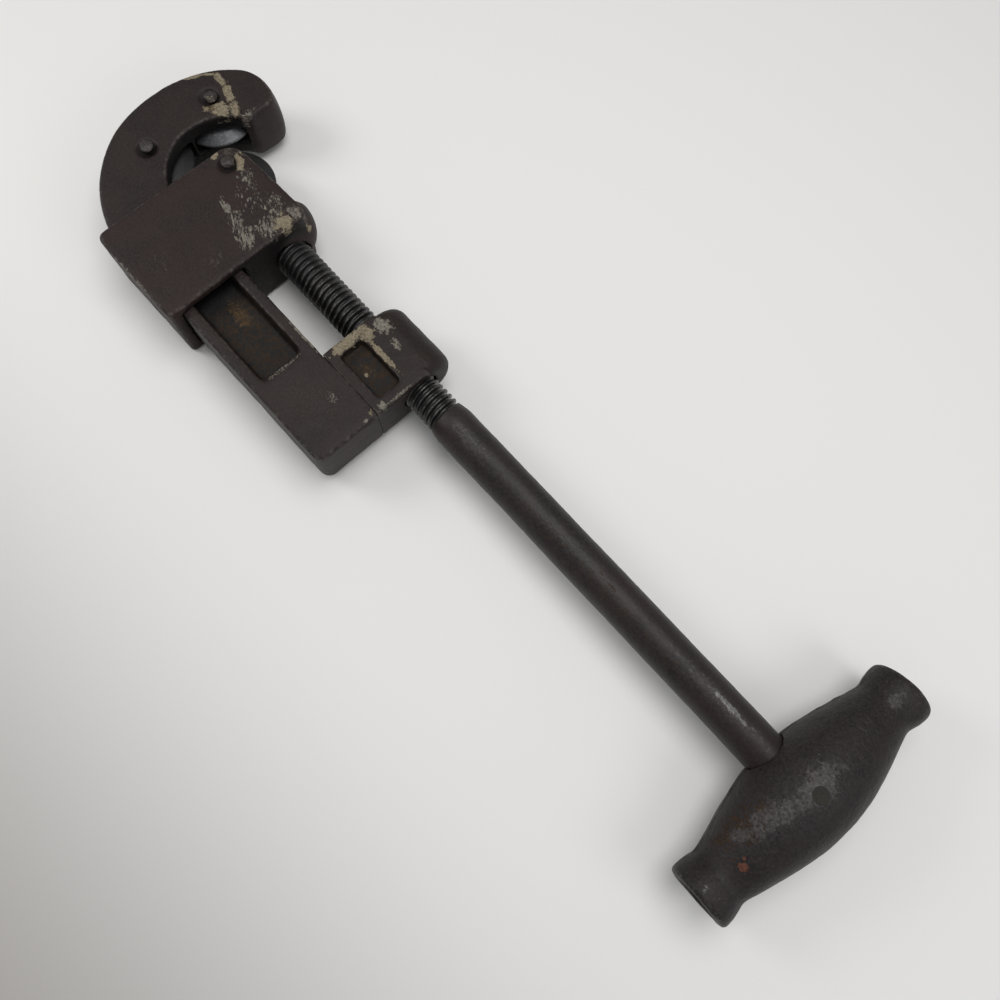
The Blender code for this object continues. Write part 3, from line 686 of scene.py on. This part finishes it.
nutBoxes = [
    # painted shade in the nut's recesses, under the rust
    ("black", 0.95, (5.8, -18.2, -12.3), (31.0, -5.9, 12.3), 0.8, 0.0),
    ("rust", 0.9, (5.8, -18.2, -12.0), (31.0, -5.9, 12.0), 1.2, 1.0),
    # painted shade in the seam between the nut and the frame
    ("black", 0.9, (-0.6, -24.5, -14.0), (37.2, -23.05, 14.0), 0.15, 0.0),
]
nutMaterial = metalMaterial("nutIron", nutLook, nutPatches, nutBoxes)
settle(makeNut(), "frame", "nut_block", nutMaterial, "nut_block")
print("nut block done")


# ---- jaw

jaw = {
    "far": -61.0, "near": 15.0, "top": -105.2, "end": -53.0, "noseTop": -104.0, "noseNear": 12.4,
    "noseCorner": 9.0, "corner": 3.5, "edge": 1.5, "gap": 0.45, "voxel": 0.66,
    "bossX": -65.0, "bossY": 3.0, "bossRadius": 17.0, "bossFace": -48.3, "bossBack": 7.0,
    "socketRadius": 6.6, "socketEnd": -72.3, "mouthRadius": 9.15, "mouthEnd": -53.0, "travel": 2.0,
    "waves": [(24, 0.28), (8, 0.16), (2.4, 0.05)],
}


def jawOutline():
    farTop, farEnd = (jaw["top"], jaw["far"]), (jaw["end"], jaw["far"])
    nearEnd, nose = (jaw["end"], jaw["near"]), (jaw["noseTop"], jaw["noseNear"])
    points = rounded(farEnd, farTop, nearEnd, jaw["edge"] * 1.2)
    points += rounded(nearEnd, farEnd, nose, jaw["corner"] * 1.6)
    points += rounded(nose, nearEnd, farTop, jaw["noseCorner"], 10)
    points += rounded(farTop, nose, farEnd, jaw["corner"])
    return points


def makeJaw():
    high = cornersOf("jaw")[1]
    frameLow, frameHigh = cornersOf("frame")
    obj = plate("slidingJaw", jawOutline(), high.z, jaw["edge"])
    radius = jaw["bossRadius"]
    reach = jaw["bossFace"] - jaw["bossX"]
    last = math.degrees(math.asin(reach / radius))
    dome = [(0, reach)] + [polar((0, 0), radius, last * (1 - step / 12)) for step in range(13)]
    dome += [(radius * math.cos(a), -jaw["bossBack"] * math.sin(a)) for a in (0.4, 0.8, 1.2)]
    dome.append((0, -jaw["bossBack"]))
    boss = turned("boss", dome, (jaw["bossX"], jaw["bossY"], 0), "X")
    carve(obj, [boss], "UNION")
    gap, half = jaw["gap"], frameHigh.z
    throat, root = hook["centre"], hook["throatRoot"]
    curveStart = throat[0] - math.sqrt(root**2 - (throat[1] - shank["near"]) ** 2)
    curveY = throat[1] - math.sqrt(root**2 - (jaw["top"] - jaw["travel"] - throat[0]) ** 2)
    wheel = middleOf("wheel_3")
    wheelRadius = (cornersOf("wheel_3")[1].x - cornersOf("wheel_3")[0].x) / 2
    reliefHigh = (curveStart + jaw["travel"] + gap, curveY + 2 * gap, half + gap)
    cuts = [
        block("channel", (-130, frameLow.y - gap, -half - gap), (-40, shank["near"] + gap, half + gap)),
        block("relief", (-130, shank["near"] - gap, -half - gap), reliefHigh),
        rod("slot", wheelRadius + wheelSlot["gap"], 2 * wheelSlot["half"], wheel),
        rod("socket", jaw["socketRadius"], 40, (jaw["socketEnd"] + 20, 0, 0), "X"),
        rod("mouth", jaw["mouthRadius"], 40, (jaw["mouthEnd"] + 20, 0, 0), "X"),
    ]
    carve(obj, cuts + dimples("wheel_pin_3", high.z))
    castSkin(obj, jaw, 3)
    markEdges(obj)
    return obj


jawLook = dict(
    frameLook, dark=(0.0088, 0.0053, 0.0048, 1), brown=(0.0195, 0.0084, 0.0072, 1), light=(0.0255, 0.0143, 0.0125, 1),
    roughness=0.52,
)
jawTop = 15.5
streak = -27
pin3 = middleOf("wheel_pin_3")
jawPatches = [
    # painted shadow round the pin's head
    ("black", (pin3.x + 0.8, pin3.y - 0.4), (4.8, 4.4), 0, 1.0, 1.0, 1.2, 13.0),
    ("cream", (-102.3, 1.2), (1.8, 3.6), 20, 0.6, 1.0, 1.25, 13.0),
    ("dust", (-100.5, 7.0), (3.5, 4.0), 0, 0.6, 1.0, 0.8, jawTop),
    ("cream", (-92.6, 7.6), (6.8, 2.9), -30, 0.6, 1.6, 1.2, 13.0),
    ("chalk", (-85.0, 5.5), (6.5, 5.0), streak, 0.45, 3.4, 0.72, jawTop),
    ("chalk", (-76.0, 1.0), (15.0, 11.0), streak, 0.45, 3.6, 0.56, jawTop),
    ("chalk", (-79.0, -10.6), (7.5, 2.4), -15, 0.5, 3.0, 0.85, jawTop),
    ("chalk", (-70.0, -12.0), (9.0, 5.5), streak, 0.5, 3.6, 0.74, jawTop),
    ("chalk", (-61.0, -13.5), (8.5, 6.5), streak, 0.4, 3.8, 0.86, jawTop - 2),
    ("chalk", (-59.0, -3.5), (7.5, 9.5), streak, 0.4, 3.6, 0.8, jawTop - 1),
    ("cream", (-56.6, 3.4), (5.4, 6.6), 10, 0.55, 2.8, 1.15, jawTop - 2),
    ("chalk", (-57.5, 10.0), (5.5, 4.6), 0, 0.45, 3.0, 0.85, jawTop),
    ("chalk", (-65.0, 5.0), (9.5, 8.5), streak, 0.45, 3.6, 0.68, jawTop),
    ("cream", (-52.6, 13.2), (2.2, 2.4), 20, 0.8, 1.0, 1.4, 6.0),
    ("scuff", (-62.5, -30.0), (8.0, 7.0), streak, 0.9, 2.2, 0.7, jawTop),
    ("scuff", (-76.0, -48.0), (10.0, 8.0), streak, 0.8, 1.6, 0.6, jawTop),
    ("chalk", (-78.0, -60.8), (18.0, 1.2), 0, 0.6, 3.0, 0.8, jawTop - 3),
]
# painted shade on the jaw's end face by the boss
jawBoxes = [("black", 0.9, (-54.5, -24.0, -17.0), (-51.6, 12.0, 16.2), 1.6, 0.25)]
jawMaterial = metalMaterial("jawIron", jawLook, jawPatches, jawBoxes)
settle(makeJaw(), "jaw", "jaw", jawMaterial, "jaw")
print("jaw done")


# ---- geometry node helpers

def newShapeTree(name, inputs):
    tree = bpy.data.node_groups.new(name, "GeometryNodeTree")
    tree.interface.new_socket("Geometry", in_out="INPUT", socket_type="NodeSocketGeometry")
    kinds = {int: "NodeSocketInt", float: "NodeSocketFloat", type(None): "NodeSocketMaterial"}
    for label, value in inputs.items():
        socket = tree.interface.new_socket(label, in_out="INPUT", socket_type=kinds[type(value)])
        if value is not None:
            socket.default_value = value
    tree.interface.new_socket("Geometry", in_out="OUTPUT", socket_type="NodeSocketGeometry")
    return tree, tree.nodes.new("NodeGroupInput").outputs, tree.nodes.new("NodeGroupOutput").inputs


def grow(name, points, tree, values):
    # Runs a tree on a few points and keeps its result as a plain mesh
    mesh = bpy.data.meshes.new(name)
    mesh.from_pydata([tuple(point) for point in points], [], [])
    obj = bpy.data.objects.new(name, mesh)
    bpy.context.scene.collection.objects.link(obj)
    modifier = obj.modifiers.new(tree.name, "NODES")
    modifier.node_group = tree
    for item in tree.interface.items_tree:
        if item.item_type == "SOCKET" and item.in_out == "INPUT" and item.name in values:
            modifier[item.identifier] = values[item.name]
    return bake(obj)


def finishTree(tree, shape, material, result):
    real = add(tree, "GeometryNodeRealizeInstances", {"Geometry": shape}).outputs[0]
    done = add(tree, "GeometryNodeSetMaterial", {"Geometry": real, "Material": material}).outputs[0]
    tree.links.new(done, result[0])


# ---- screw

screw = {
    "threadStart": -52.6, "threadEnd": 54.6, "pitch": 2.9, "crest": 8.77, "root": 7.05, "fade": 0.9,
    "around": 64, "samplesPerPitch": 14, "barStart": 52.8, "taper": 5.0,
    "tipEnd": -72.0, "tipRadius": 6.0, "neckRadius": 3.9, "neckFrom": -65.0, "neckTo": -59.6,
    "threadWear": 0.35, "barWaves": [(30, 0.16), (6, 0.10), (2.2, 0.05)],
}


def makeThreadTree():
    inputs = {
        "Length": 100.0, "Pitch": 2.9, "Root Radius": 7.0, "Crest Radius": 8.8, "Fade": 2.0,
        "Around": 64, "Along": 400, "Wear": 0.08, "Material": None,
    }
    tree, given, result = newShapeTree("screwThread", inputs)
    tube = {"Vertices": given["Around"], "Side Segments": given["Along"], "Radius": 1.0, "Depth": given["Length"]}
    shape = add(tree, "GeometryNodeMeshCylinder", tube, fill_type="NGON").outputs["Mesh"]
    here = add(tree, "GeometryNodeInputPosition").outputs[0]
    x, y, z = add(tree, "ShaderNodeSeparateXYZ", {0: here}).outputs
    swing = calc(tree, "DIVIDE", calc(tree, "ARCTAN2", y, x), 2 * math.pi)
    phase = calc(tree, "FRACT", calc(tree, "SUBTRACT", calc(tree, "DIVIDE", z, given["Pitch"]), swing))
    ridge = calc(tree, "SUBTRACT", 1.0, calc(tree, "ABSOLUTE", calc(tree, "MULTIPLY_ADD", phase, 2.0, -1.0)))
    ridge = smooth(tree, ridge, 0.26, 0.84)
    half = calc(tree, "MULTIPLY", given["Length"], 0.5)
    fromEnd = calc(tree, "SUBTRACT", half, calc(tree, "ABSOLUTE", z))
    ridge = calc(tree, "MULTIPLY", ridge, calc(tree, "DIVIDE", fromEnd, given["Fade"], clamp=True))
    depth = calc(tree, "SUBTRACT", given["Crest Radius"], given["Root Radius"])
    radius = calc(tree, "ADD", given["Root Radius"], calc(tree, "MULTIPLY", depth, ridge))
    worn = add(tree, "ShaderNodeTexNoise", {"Vector": here, "Scale": 0.35, "Detail": 3.0}).outputs["Fac"]
    worn = calc(tree, "MULTIPLY", calc(tree, "MULTIPLY", worn, given["Wear"]), ridge)
    radius = calc(tree, "SUBTRACT", radius, worn)
    outwards = {0: calc(tree, "MULTIPLY", x, radius), 1: calc(tree, "MULTIPLY", y, radius), 2: z}
    spread = add(tree, "ShaderNodeCombineXYZ", outwards).outputs[0]
    shape = add(tree, "GeometryNodeSetPosition", {"Geometry": shape, "Position": spread}).outputs[0]
    turn = {"Geometry": shape, "Rotation": (0, math.pi / 2, 0)}
    shape = add(tree, "GeometryNodeTransform", turn).outputs[0]
    finishTree(tree, shape, given["Material"], result)
    return tree


def makeScrew():
    barRadius = cornersOf("screw")[1].z
    barEnd = cornersOf("screw")[1].x
    length = screw["threadEnd"] - screw["threadStart"]
    values = {
        "Length": length, "Pitch": screw["pitch"], "Root Radius": screw["root"], "Crest Radius": screw["crest"],
        "Fade": screw["fade"], "Around": screw["around"],
        "Along": round(length / screw["pitch"] * screw["samplesPerPitch"]), "Wear": screw["threadWear"],
        "Material": threadMaterial,
    }
    thread = grow("screwThread", [(0, 0, 0)], makeThreadTree(), values)
    thread.data.transform(Matrix.Translation(((screw["threadStart"] + screw["threadEnd"]) / 2, 0, 0)))
    markEdges(thread, 12)

    start, taper = screw["barStart"], screw["taper"]
    profile = [(0, start), (barRadius * 0.6, start), (barRadius - 1.3, start + 0.1), (barRadius - 0.85, start + 0.5)]
    for share in np.linspace(0, 1, 8):
        profile.append((barRadius - 0.75 * (1 - share) ** 1.5, start + 0.8 + taper * share))
    profile += [(barRadius, x) for x in np.linspace(start + taper + 2, barEnd - 2, 170)]
    profile += [(barRadius - 1, barEnd), (0, barEnd)]
    bar = turned("screwBar", profile, (0, 0, 0), "X", 80)
    roughen(bar, screw["barWaves"], 4)
    markEdges(bar, 8)

    tip, neck, inThread = screw["tipRadius"], screw["neckRadius"], screw["threadStart"] + 2
    path = [
        (0, screw["tipEnd"]), (tip, screw["tipEnd"]), (tip, screw["neckFrom"]), (neck, screw["neckFrom"]),
        (neck, screw["neckTo"]), (tip, screw["neckTo"]), (tip, inThread), (0, inThread),
    ]
    tipPiece = markEdges(turned("screwTip", softened(path, 0.8), (0, 0, 0), "X", 64), 4)
    return thread, bar, tipPiece


threadLook = {
    "dark": (0.0040, 0.0038, 0.0038, 1), "brown": (0.0075, 0.0066, 0.0062, 1), "light": (0.013, 0.0115, 0.011, 1),
    "worn": (0.175, 0.167, 0.16, 1), "roughness": 0.29, "grain": 0.8, "relief": 0.05, "wear": 0.68, "specks": 0.06,
    "gloss": 0.5, "dirt": 0.8,
}
barLook = {
    "dark": (0.0058, 0.0044, 0.0042, 1), "brown": (0.0150, 0.0090, 0.0076, 1), "light": (0.0220, 0.0155, 0.0135, 1),
    "worn": (0.10, 0.095, 0.09, 1), "roughness": 0.42, "grain": 1.3, "relief": 0.18, "wear": 0.3, "specks": 0.3,
    "gloss": 0.38,
}
barPatches = [
    ("rust", (150.0, -3.0), (90.0, 7.0), 0, 0.9, 2.0, 0.55, -20.0),
    ("scuff", (70.0, -2.0), (20.0, 4.5), 0, 0.6, 1.6, 0.85, 3.0),
    ("scuff", (130.0, -1.5), (60.0, 3.5), 0, 0.6, 1.6, 0.6, 5.0),
    ("scuff", (215.0, 0.4), (42.0, 3.6), 0, 0.7, 1.4, 0.8, 5.0),
    ("steel", (222.0, 0.5), (17.0, 1.9), 0, 0.8, 1.5, 1.05, 6.0),
]
threadBoxes = [("black", 0.65, (-75.0, -12.0, -12.0), (-36.0, 12.0, 12.0), 14.0, 0.3)]
threadMaterial = metalMaterial("threadSteel", threadLook, boxes=threadBoxes)
barMaterial = metalMaterial("barSteel", barLook, barPatches)
for piece, material in zip(makeScrew(), (threadMaterial, barMaterial, threadMaterial)):
    settle(piece, "screw", "screw", material, "screw")
print("screw done")


# ---- handle

handle = {
    "belly": 21.5, "neckY": 48.0, "neck": 12.1, "half": 59.7, "flangeY": 55.5, "flange": 14.0, "rim": 2.0,
    "recess": 9.5, "recessDepth": 4.0, "lean": 1.2, "seam": 0.45, "seamWidth": 0.8, "voxel": 0.62,
    "rivet": 3.75, "land": 21.1, "burr": 0.9, "bore": 9.75, "waves": [(26, 0.35), (9, 0.2), (2.6, 0.08)],
}
handleX = middleOf("handle_rivet").x


def handleRadius(distance):
    share = min(distance / handle["neckY"], 1)
    swell = 0.25 * (1 + math.cos(math.pi * share)) / 2 + 0.75 * (1 - share**2)
    flare = min(max((distance - handle["neckY"] + 4) / (handle["flangeY"] - handle["neckY"] + 4), 0), 1)
    flare = flare * flare * (3 - 2 * flare)
    return handle["neck"] + (handle["belly"] - handle["neck"]) * swell + (handle["flange"] - handle["neck"]) * flare


def makeHandle():
    centre = middleOf("handle")
    half, rim = handle["half"], handle["rim"]
    recess, floor = handle["recess"], half - handle["recessDepth"]
    ends = [(0, floor), (recess * 0.7, floor), (recess, half - 0.4), (recess + 0.5, half)]
    ends += rounded((handle["flange"], half), (0, half), (handle["flange"], 0), rim)
    side = [(handleRadius(abs(y)), y) for y in np.linspace(half - rim - 0.6, -(half - rim - 0.6), 110)]
    profile = ends + side + [(radius, -height) for radius, height in reversed(ends)]
    obj = turned("teeHandle", profile, (0, 0, 0), "Y", 120)
    lean = Matrix.Rotation(math.radians(-handle["lean"]), 4, "Z")
    obj.data.transform(Matrix.Translation((centre.x, centre.y, 0)) @ lean)
    barEnd = cornersOf("screw")[1].x + 0.3
    start = centre.x - 2 * handle["belly"]
    carve(obj, [rod("bore", handle["bore"], barEnd - start, ((barEnd + start) / 2, 0, 0), "X")])
    castSkin(obj, handle, 5)
    mesh = obj.data
    points = pointsOf(mesh)
    uneven = np.array([noise.noise(Vector((point[1] * 0.22, point[0] * 0.05, 3.1))) for point in points])
    flash = np.exp(-((points[:, 2] / handle["seamWidth"]) ** 2)) * handle["seam"]  # raised line of the mould's seam
    flash *= np.clip(0.65 + 1.1 * uneven, 0, 1.4)
    flash *= np.abs(points[:, 1] - centre.y) < half - 3
    burr = np.exp(-((points[:, 1] + 13.4) / 1.8) ** 2 - ((points[:, 2] + 1) / 2.0) ** 2) * (points[:, 0] > centre.x)
    points += normalsOf(mesh) * (flash + handle["burr"] * burr)[:, None]
    near = np.hypot(points[:, 0] - handleX, points[:, 1]) < 2 * handle["rivet"]
    points[near, 2] = np.clip(points[near, 2], -handle["land"], handle["land"])
    write(mesh, points)
    markEdges(obj)
    return obj


handleLook = {
    "dark": (0.0050, 0.0036, 0.0039, 1), "brown": (0.0135, 0.0080, 0.0083, 1), "light": (0.0235, 0.0166, 0.0174, 1),
    "worn": (0.085, 0.080, 0.080, 1), "roughness": 0.43, "grain": 1.3, "relief": 0.34, "wear": 0.6, "specks": 0.5,
    "gloss": 0.28,
}
handlePatches = [
    ("rust", (handleX - 10.0, -28.0), (8.0, 22.0), 0, 1.6, 1.0, 0.75, 0.0),
    ("scuff", (handleX - 3.0, 3.0), (8.0, 17.0), 0, 0.7, 1.2, 1.05, 12.0),
    ("scuff", (handleX - 6.0, -18.0), (7.0, 20.0), -12, 0.7, 1.2, 1.02, 10.0),
    ("scuff", (handleX - 1.0, 1.0), (8.0, 8.0), 0, 0.5, 1.0, 1.0, 15.0),
    ("scuff", (handleX - 9.5, -32.0), (3.5, 6.0), -10, 0.8, 1.0, 1.0, 8.0),
    ("scuff", (handleX - 1.0, 50.0), (4.0, 6.0), 0, 0.8, 1.0, 1.0, 6.0),
    ("steel", (handleX - 5.0, -54.7), (1.8, 3.2), 0, 0.7, 1.0, 0.8, 6.0),
    ("orange", (handleX - 0.8, -39.0), (2.4, 2.2), 30, 0.8, 1.0, 1.25, 8.0),
    ("orange", (handleX - 2.6, -36.3), (1.2, 1.0), 0, 0.6, 1.0, 1.1, 8.0),
]
handleMaterial = metalMaterial("handleIron", handleLook, handlePatches)
settle(makeHandle(), "screw", "handle", handleMaterial, "handle")
print("handle done")


def makeRivet():
    top = handle["land"] + 0.12
    radius = handle["rivet"]
    upper = [(0, top), (radius * 0.5, top - 0.02), *rounded((radius, top - 0.05), (0, top), (radius, 0), 0.5)]
    upper += [(radius, top - 2), (radius, top - 10)]
    profile = upper + [(r, -h) for r, h in reversed(upper)]
    return markEdges(turned("handleRivet", profile, (handleX, 0, 0), "Z", 48), 3)


rivetLook = dict(
    handleLook, dark=(0.014, 0.0125, 0.0105, 1), brown=(0.023, 0.020, 0.017, 1), light=(0.031, 0.027, 0.023, 1),
    grain=0.7, specks=0.1, roughness=0.55, relief=0.05, wear=0.2, gloss=0.2,
)
rivetMaterial = metalMaterial("rivetSteel", rivetLook)
settle(makeRivet(), "screw", "handle_rivet", rivetMaterial, "handle_rivet")
print("rivet done")


# ---- wheels, pins and the pin that keeps the screw

wheel = {"bore": 3.15, "hub": 7.5, "hubHalf": 4.9, "webHalf": 3.2, "rimDepth": 4.6, "edgeHalf": 0.1}


def makeWheel(name, node):
    low, high = cornersOf(node)
    centre, radius = middleOf(node), (high.x - low.x) / 2
    bore, hub, rim = wheel["bore"], wheel["hub"], radius - wheel["rimDepth"]
    hubHalf, webHalf = wheel["hubHalf"], wheel["webHalf"]
    upper = [
        (bore, hubHalf - 0.3), (bore + 0.3, hubHalf), (hub - 0.3, hubHalf), (hub, hubHalf - 0.3),
        (hub + 0.3, webHalf + 0.5), (hub + 0.9, webHalf), (rim - 0.4, webHalf * 0.86), (rim, webHalf * 0.8),
        (rim + 1.2, webHalf * 0.58), (radius - 0.8, 0.5), (radius, wheel["edgeHalf"]),
    ]
    profile = upper + [(r, -h) for r, h in reversed(upper)]
    obj = turned(name, profile, centre, "Z", 120, hollow=True)
    roughen(obj, [(5, 0.05), (1.6, 0.04)], 6)
    return markEdges(obj, 4)


wheelLook = {
    "dark": (0.024, 0.025, 0.027, 1), "brown": (0.066, 0.068, 0.072, 1), "light": (0.125, 0.128, 0.134, 1),
    "worn": (0.34, 0.34, 0.345, 1), "roughness": 0.36, "grain": 0.8, "relief": 0.08, "wear": 0.7, "specks": 0.3,
    "metal": 0.55, "gloss": 0.5,
}
dullWheelLook = dict(
    wheelLook, dark=(0.007, 0.0068, 0.0068, 1), brown=(0.013, 0.0125, 0.0125, 1), light=(0.022, 0.021, 0.021, 1),
    worn=(0.14, 0.14, 0.14, 1), metal=0.2, roughness=0.5,
)
wheelMaterial = metalMaterial("wheelSteel", wheelLook)
dullWheelMaterial = metalMaterial("dullWheelSteel", dullWheelLook)
for number, material in ((1, wheelMaterial), (2, dullWheelMaterial), (3, dullWheelMaterial)):
    node = f"wheel_{number}"
    settle(makeWheel(f"cutterWheel{number}", node), node, node, material, node)
print("wheels done")


def makePinTree():
    inputs = {"Radius": 3.0, "Half Length": 15.0, "Dome": 0.6, "Dents": 0.3, "Seed": 1, "Material": None}
    tree, given, result = newShapeTree("hammeredPins", inputs)
    tube = {
        "Vertices": 40, "Side Segments": 24, "Fill Segments": 8, "Radius": given["Radius"],
        "Depth": calc(tree, "MULTIPLY", given["Half Length"], 2.0),
    }
    shape = add(tree, "GeometryNodeMeshCylinder", tube, fill_type="TRIANGLE_FAN").outputs["Mesh"]
    here = add(tree, "GeometryNodeInputPosition").outputs[0]
    x, y, z = add(tree, "ShaderNodeSeparateXYZ", {0: here}).outputs
    across = calc(tree, "SQRT", calc(tree, "ADD", calc(tree, "MULTIPLY", x, x), calc(tree, "MULTIPLY", y, y)))
    share = calc(tree, "DIVIDE", across, given["Radius"])
    drop = calc(tree, "MULTIPLY", calc(tree, "POWER", share, 3.0), given["Dome"])
    ends = calc(tree, "GREATER_THAN", calc(tree, "ABSOLUTE", z), calc(tree, "SUBTRACT", given["Half Length"], 0.01))
    drop = calc(tree, "MULTIPLY", calc(tree, "MULTIPLY", drop, calc(tree, "SIGN", z)), ends)
    sunk = add(tree, "ShaderNodeCombineXYZ", {2: calc(tree, "MULTIPLY", drop, -1.0)}).outputs[0]
    shape = add(tree, "GeometryNodeSetPosition", {"Geometry": shape, "Offset": sunk}).outputs[0]
    seats = {"Points": given["Geometry"], "Instance": shape}
    shape = add(tree, "GeometryNodeInstanceOnPoints", seats).outputs[0]
    shape = add(tree, "GeometryNodeRealizeInstances", {"Geometry": shape}).outputs[0]
    there = add(tree, "GeometryNodeInputPosition").outputs[0]
    inputs = {"Vector": there, "W": given["Seed"], "Scale": 0.42, "Detail": 2.0}
    dents = add(tree, "ShaderNodeTexNoise", inputs, noise_dimensions="4D").outputs["Color"]
    dents = scaled(tree, vectorCalc(tree, "SUBTRACT", dents, (0.5, 0.5, 0.5)), given["Dents"])
    shape = add(tree, "GeometryNodeSetPosition", {"Geometry": shape, "Offset": dents}).outputs[0]
    finishTree(tree, shape, given["Material"], result)
    return tree


pins = {
    "radius": 2.95, "proud": (2.1, 2.9, 1.4), "dome": (1.2, 0.6, 0.9), "dents": (1.9, 1.1, 1.4),
    "lean": (1.9, 1.5, 0.0),
}
# The pins' brown and light tones are lighter than the castings': worn steel on the heads, and partly a painted
# highlight on their tops
pinLook = dict(
    frameLook, brown=(0.022, 0.0165, 0.0145, 1), light=(0.050, 0.042, 0.038, 1),
    relief=0.12, wear=1.1, grain=0.7, roughness=0.36, gloss=0.45,
)
pinMaterial = metalMaterial("pinSteel", pinLook, [
    ("cream", (-129.0, 19.0), (3.0, 2.4), 30, 0.7, 1.0, 0.7, 10.0),
    ("cream", (-93.5, 5.2), (2.4, 1.8), 0, 0.8, 1.0, 0.6, 14.0),
])
pinTree = makePinTree()


def leanHeads(piece, lean, half):
    # Hammered over towards the screw, only outside the casting
    points = pointsOf(piece.data)
    share = np.clip((np.abs(points[:, 2]) - half + 4.5) / 3.5, 0, 1)
    points[:, 0] += lean * share * share * (3 - 2 * share)
    write(piece.data, points)


for number, body in ((1, "frame"), (2, "frame"), (3, "jaw")):
    node = f"wheel_pin_{number}"
    half = cornersOf("jaw" if body == "jaw" else "frame")[1].z + pins["proud"][number - 1]
    values = {
        "Radius": pins["radius"], "Half Length": half, "Dome": pins["dome"][number - 1],
        "Dents": pins["dents"][number - 1], "Seed": number, "Material": pinMaterial,
    }
    piece = grow(f"wheelPin{number}", [middleOf(node)], pinTree, values)
    leanHeads(piece, pins["lean"][number - 1], half)
    markEdges(piece, 3)
    settle(piece, body, node, pinMaterial, node)


def makeRetainer():
    low, high = cornersOf("screw_retainer")
    centre, radius, half = (low + high) / 2, (high.x - low.x) / 2, (high.y - low.y) / 2
    upper = [(0, half), (radius * 0.6, half - 0.1), *rounded((radius, half - 0.1), (0, half - 0.1), (radius, 0), 0.5)]
    profile = upper + [(radius, 0)] + [(r, -h) for r, h in reversed(upper)]
    return markEdges(turned("screwRetainer", profile, centre, "Y", 40), 3)


settle(makeRetainer(), "jaw", "screw_retainer", pinMaterial, "screw_retainer")
print("pins done")


# ---- stage, light and camera

view = {
    "place": (154.365, -77.505, 358.409), "tilt": 14.167, "lean": -1.852, "turn": 47.358,
    "lens": 31.32, "sensor": 36,
}
# The floor darkens towards one side (far, fade), a painted shade of the light falling off
stage = {
    "colour": (0.865, 0.857, 0.842, 1), "far": (0.42, 0.40, 0.385, 1), "fade": (-0.34, -0.08),
    "size": 4.0, "drop": 0.0001,
}
lights = {
    "key": {
        "place": (0.02, 0.16, 0.90), "aim": (0.0, 0.10, 0.0),
        "size": 0.65, "power": 3.95, "colour": (1.0, 0.99, 0.975),
    },
    "left": {
        "place": (-0.52, -0.30, 0.50), "aim": (-0.19, 0.0, 0.0),
        "size": 0.3, "power": 1.15, "colour": (1.0, 0.985, 0.97),
    },
    "right": {
        "place": (0.66, 0.12, 0.50), "aim": (0.19, 0.0, 0.0),
        "size": 0.35, "power": 0.75, "colour": (0.985, 0.99, 1.0),
    },
}
sky = {"colour": (0.97, 0.985, 1.0, 1), "strength": 0.315}


def makeStage():
    jawLow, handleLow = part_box("jaw")[0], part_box("handle")[0]
    handleMiddle = (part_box("handle")[0].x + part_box("handle")[1].x) / 2
    tilt = math.atan((jawLow.z - handleLow.z) / (handleMiddle - jawLow.x))
    work = bmesh.new()
    bmesh.ops.create_grid(work, x_segments=1, y_segments=1, size=stage["size"] / 2)
    pivot = Vector((handleMiddle, 0, handleLow.z - stage["drop"]))
    work.transform(Matrix.Translation(pivot) @ Matrix.Rotation(tilt, 4, "Y"))
    floor = objectFrom("floor", work)
    material = bpy.data.materials.new("paleFloor")
    material.use_nodes = True
    tree = material.node_tree
    shader = tree.nodes["Principled BSDF"]
    place = add(tree, "ShaderNodeTexCoord").outputs["Object"]
    away = add(tree, "ShaderNodeSeparateXYZ", {0: place}).outputs["Y"]
    # painted shade: the floor's colour goes darker towards one side
    tone = mixed(tree, smooth(tree, away, *stage["fade"]), stage["far"], stage["colour"])
    tree.links.new(tone, shader.inputs["Base Color"])
    shader.inputs["Roughness"].default_value = 0.6
    shader.inputs["Specular IOR Level"].default_value = 0.2
    floor.data.materials.append(material)


def makeLight(name, light):
    data = bpy.data.lights.new(name, "AREA")
    data.shape = "DISK"
    data.size = light["size"]
    data.energy = light["power"]
    data.color = light["colour"]
    obj = bpy.data.objects.new(name, data)
    bpy.context.scene.collection.objects.link(obj)
    obj.location = light["place"]
    towards = Vector(light["aim"]) - Vector(light["place"])
    obj.rotation_euler = towards.to_track_quat("-Z", "Y").to_euler()


def makeCamera():
    data = bpy.data.cameras.new("camera")
    data.sensor_width = view["sensor"]
    data.lens = view["lens"]
    obj = bpy.data.objects.new("camera", data)
    bpy.context.scene.collection.objects.link(obj)
    obj.location = toRow @ Vector(view["place"])
    obj.rotation_euler = [math.radians(view[name]) for name in ("tilt", "lean", "turn")]
    bpy.context.scene.camera = obj


makeStage()
for name, light in lights.items():
    makeLight(name, light)
world = bpy.data.worlds.new("studio")
world.use_nodes = True
background = world.node_tree.nodes["Background"].inputs
background["Color"].default_value = sky["colour"]
background["Strength"].default_value = sky["strength"]
bpy.context.scene.world = world
bpy.context.scene.view_settings.view_transform = "Standard"
makeCamera()
print("stage done")
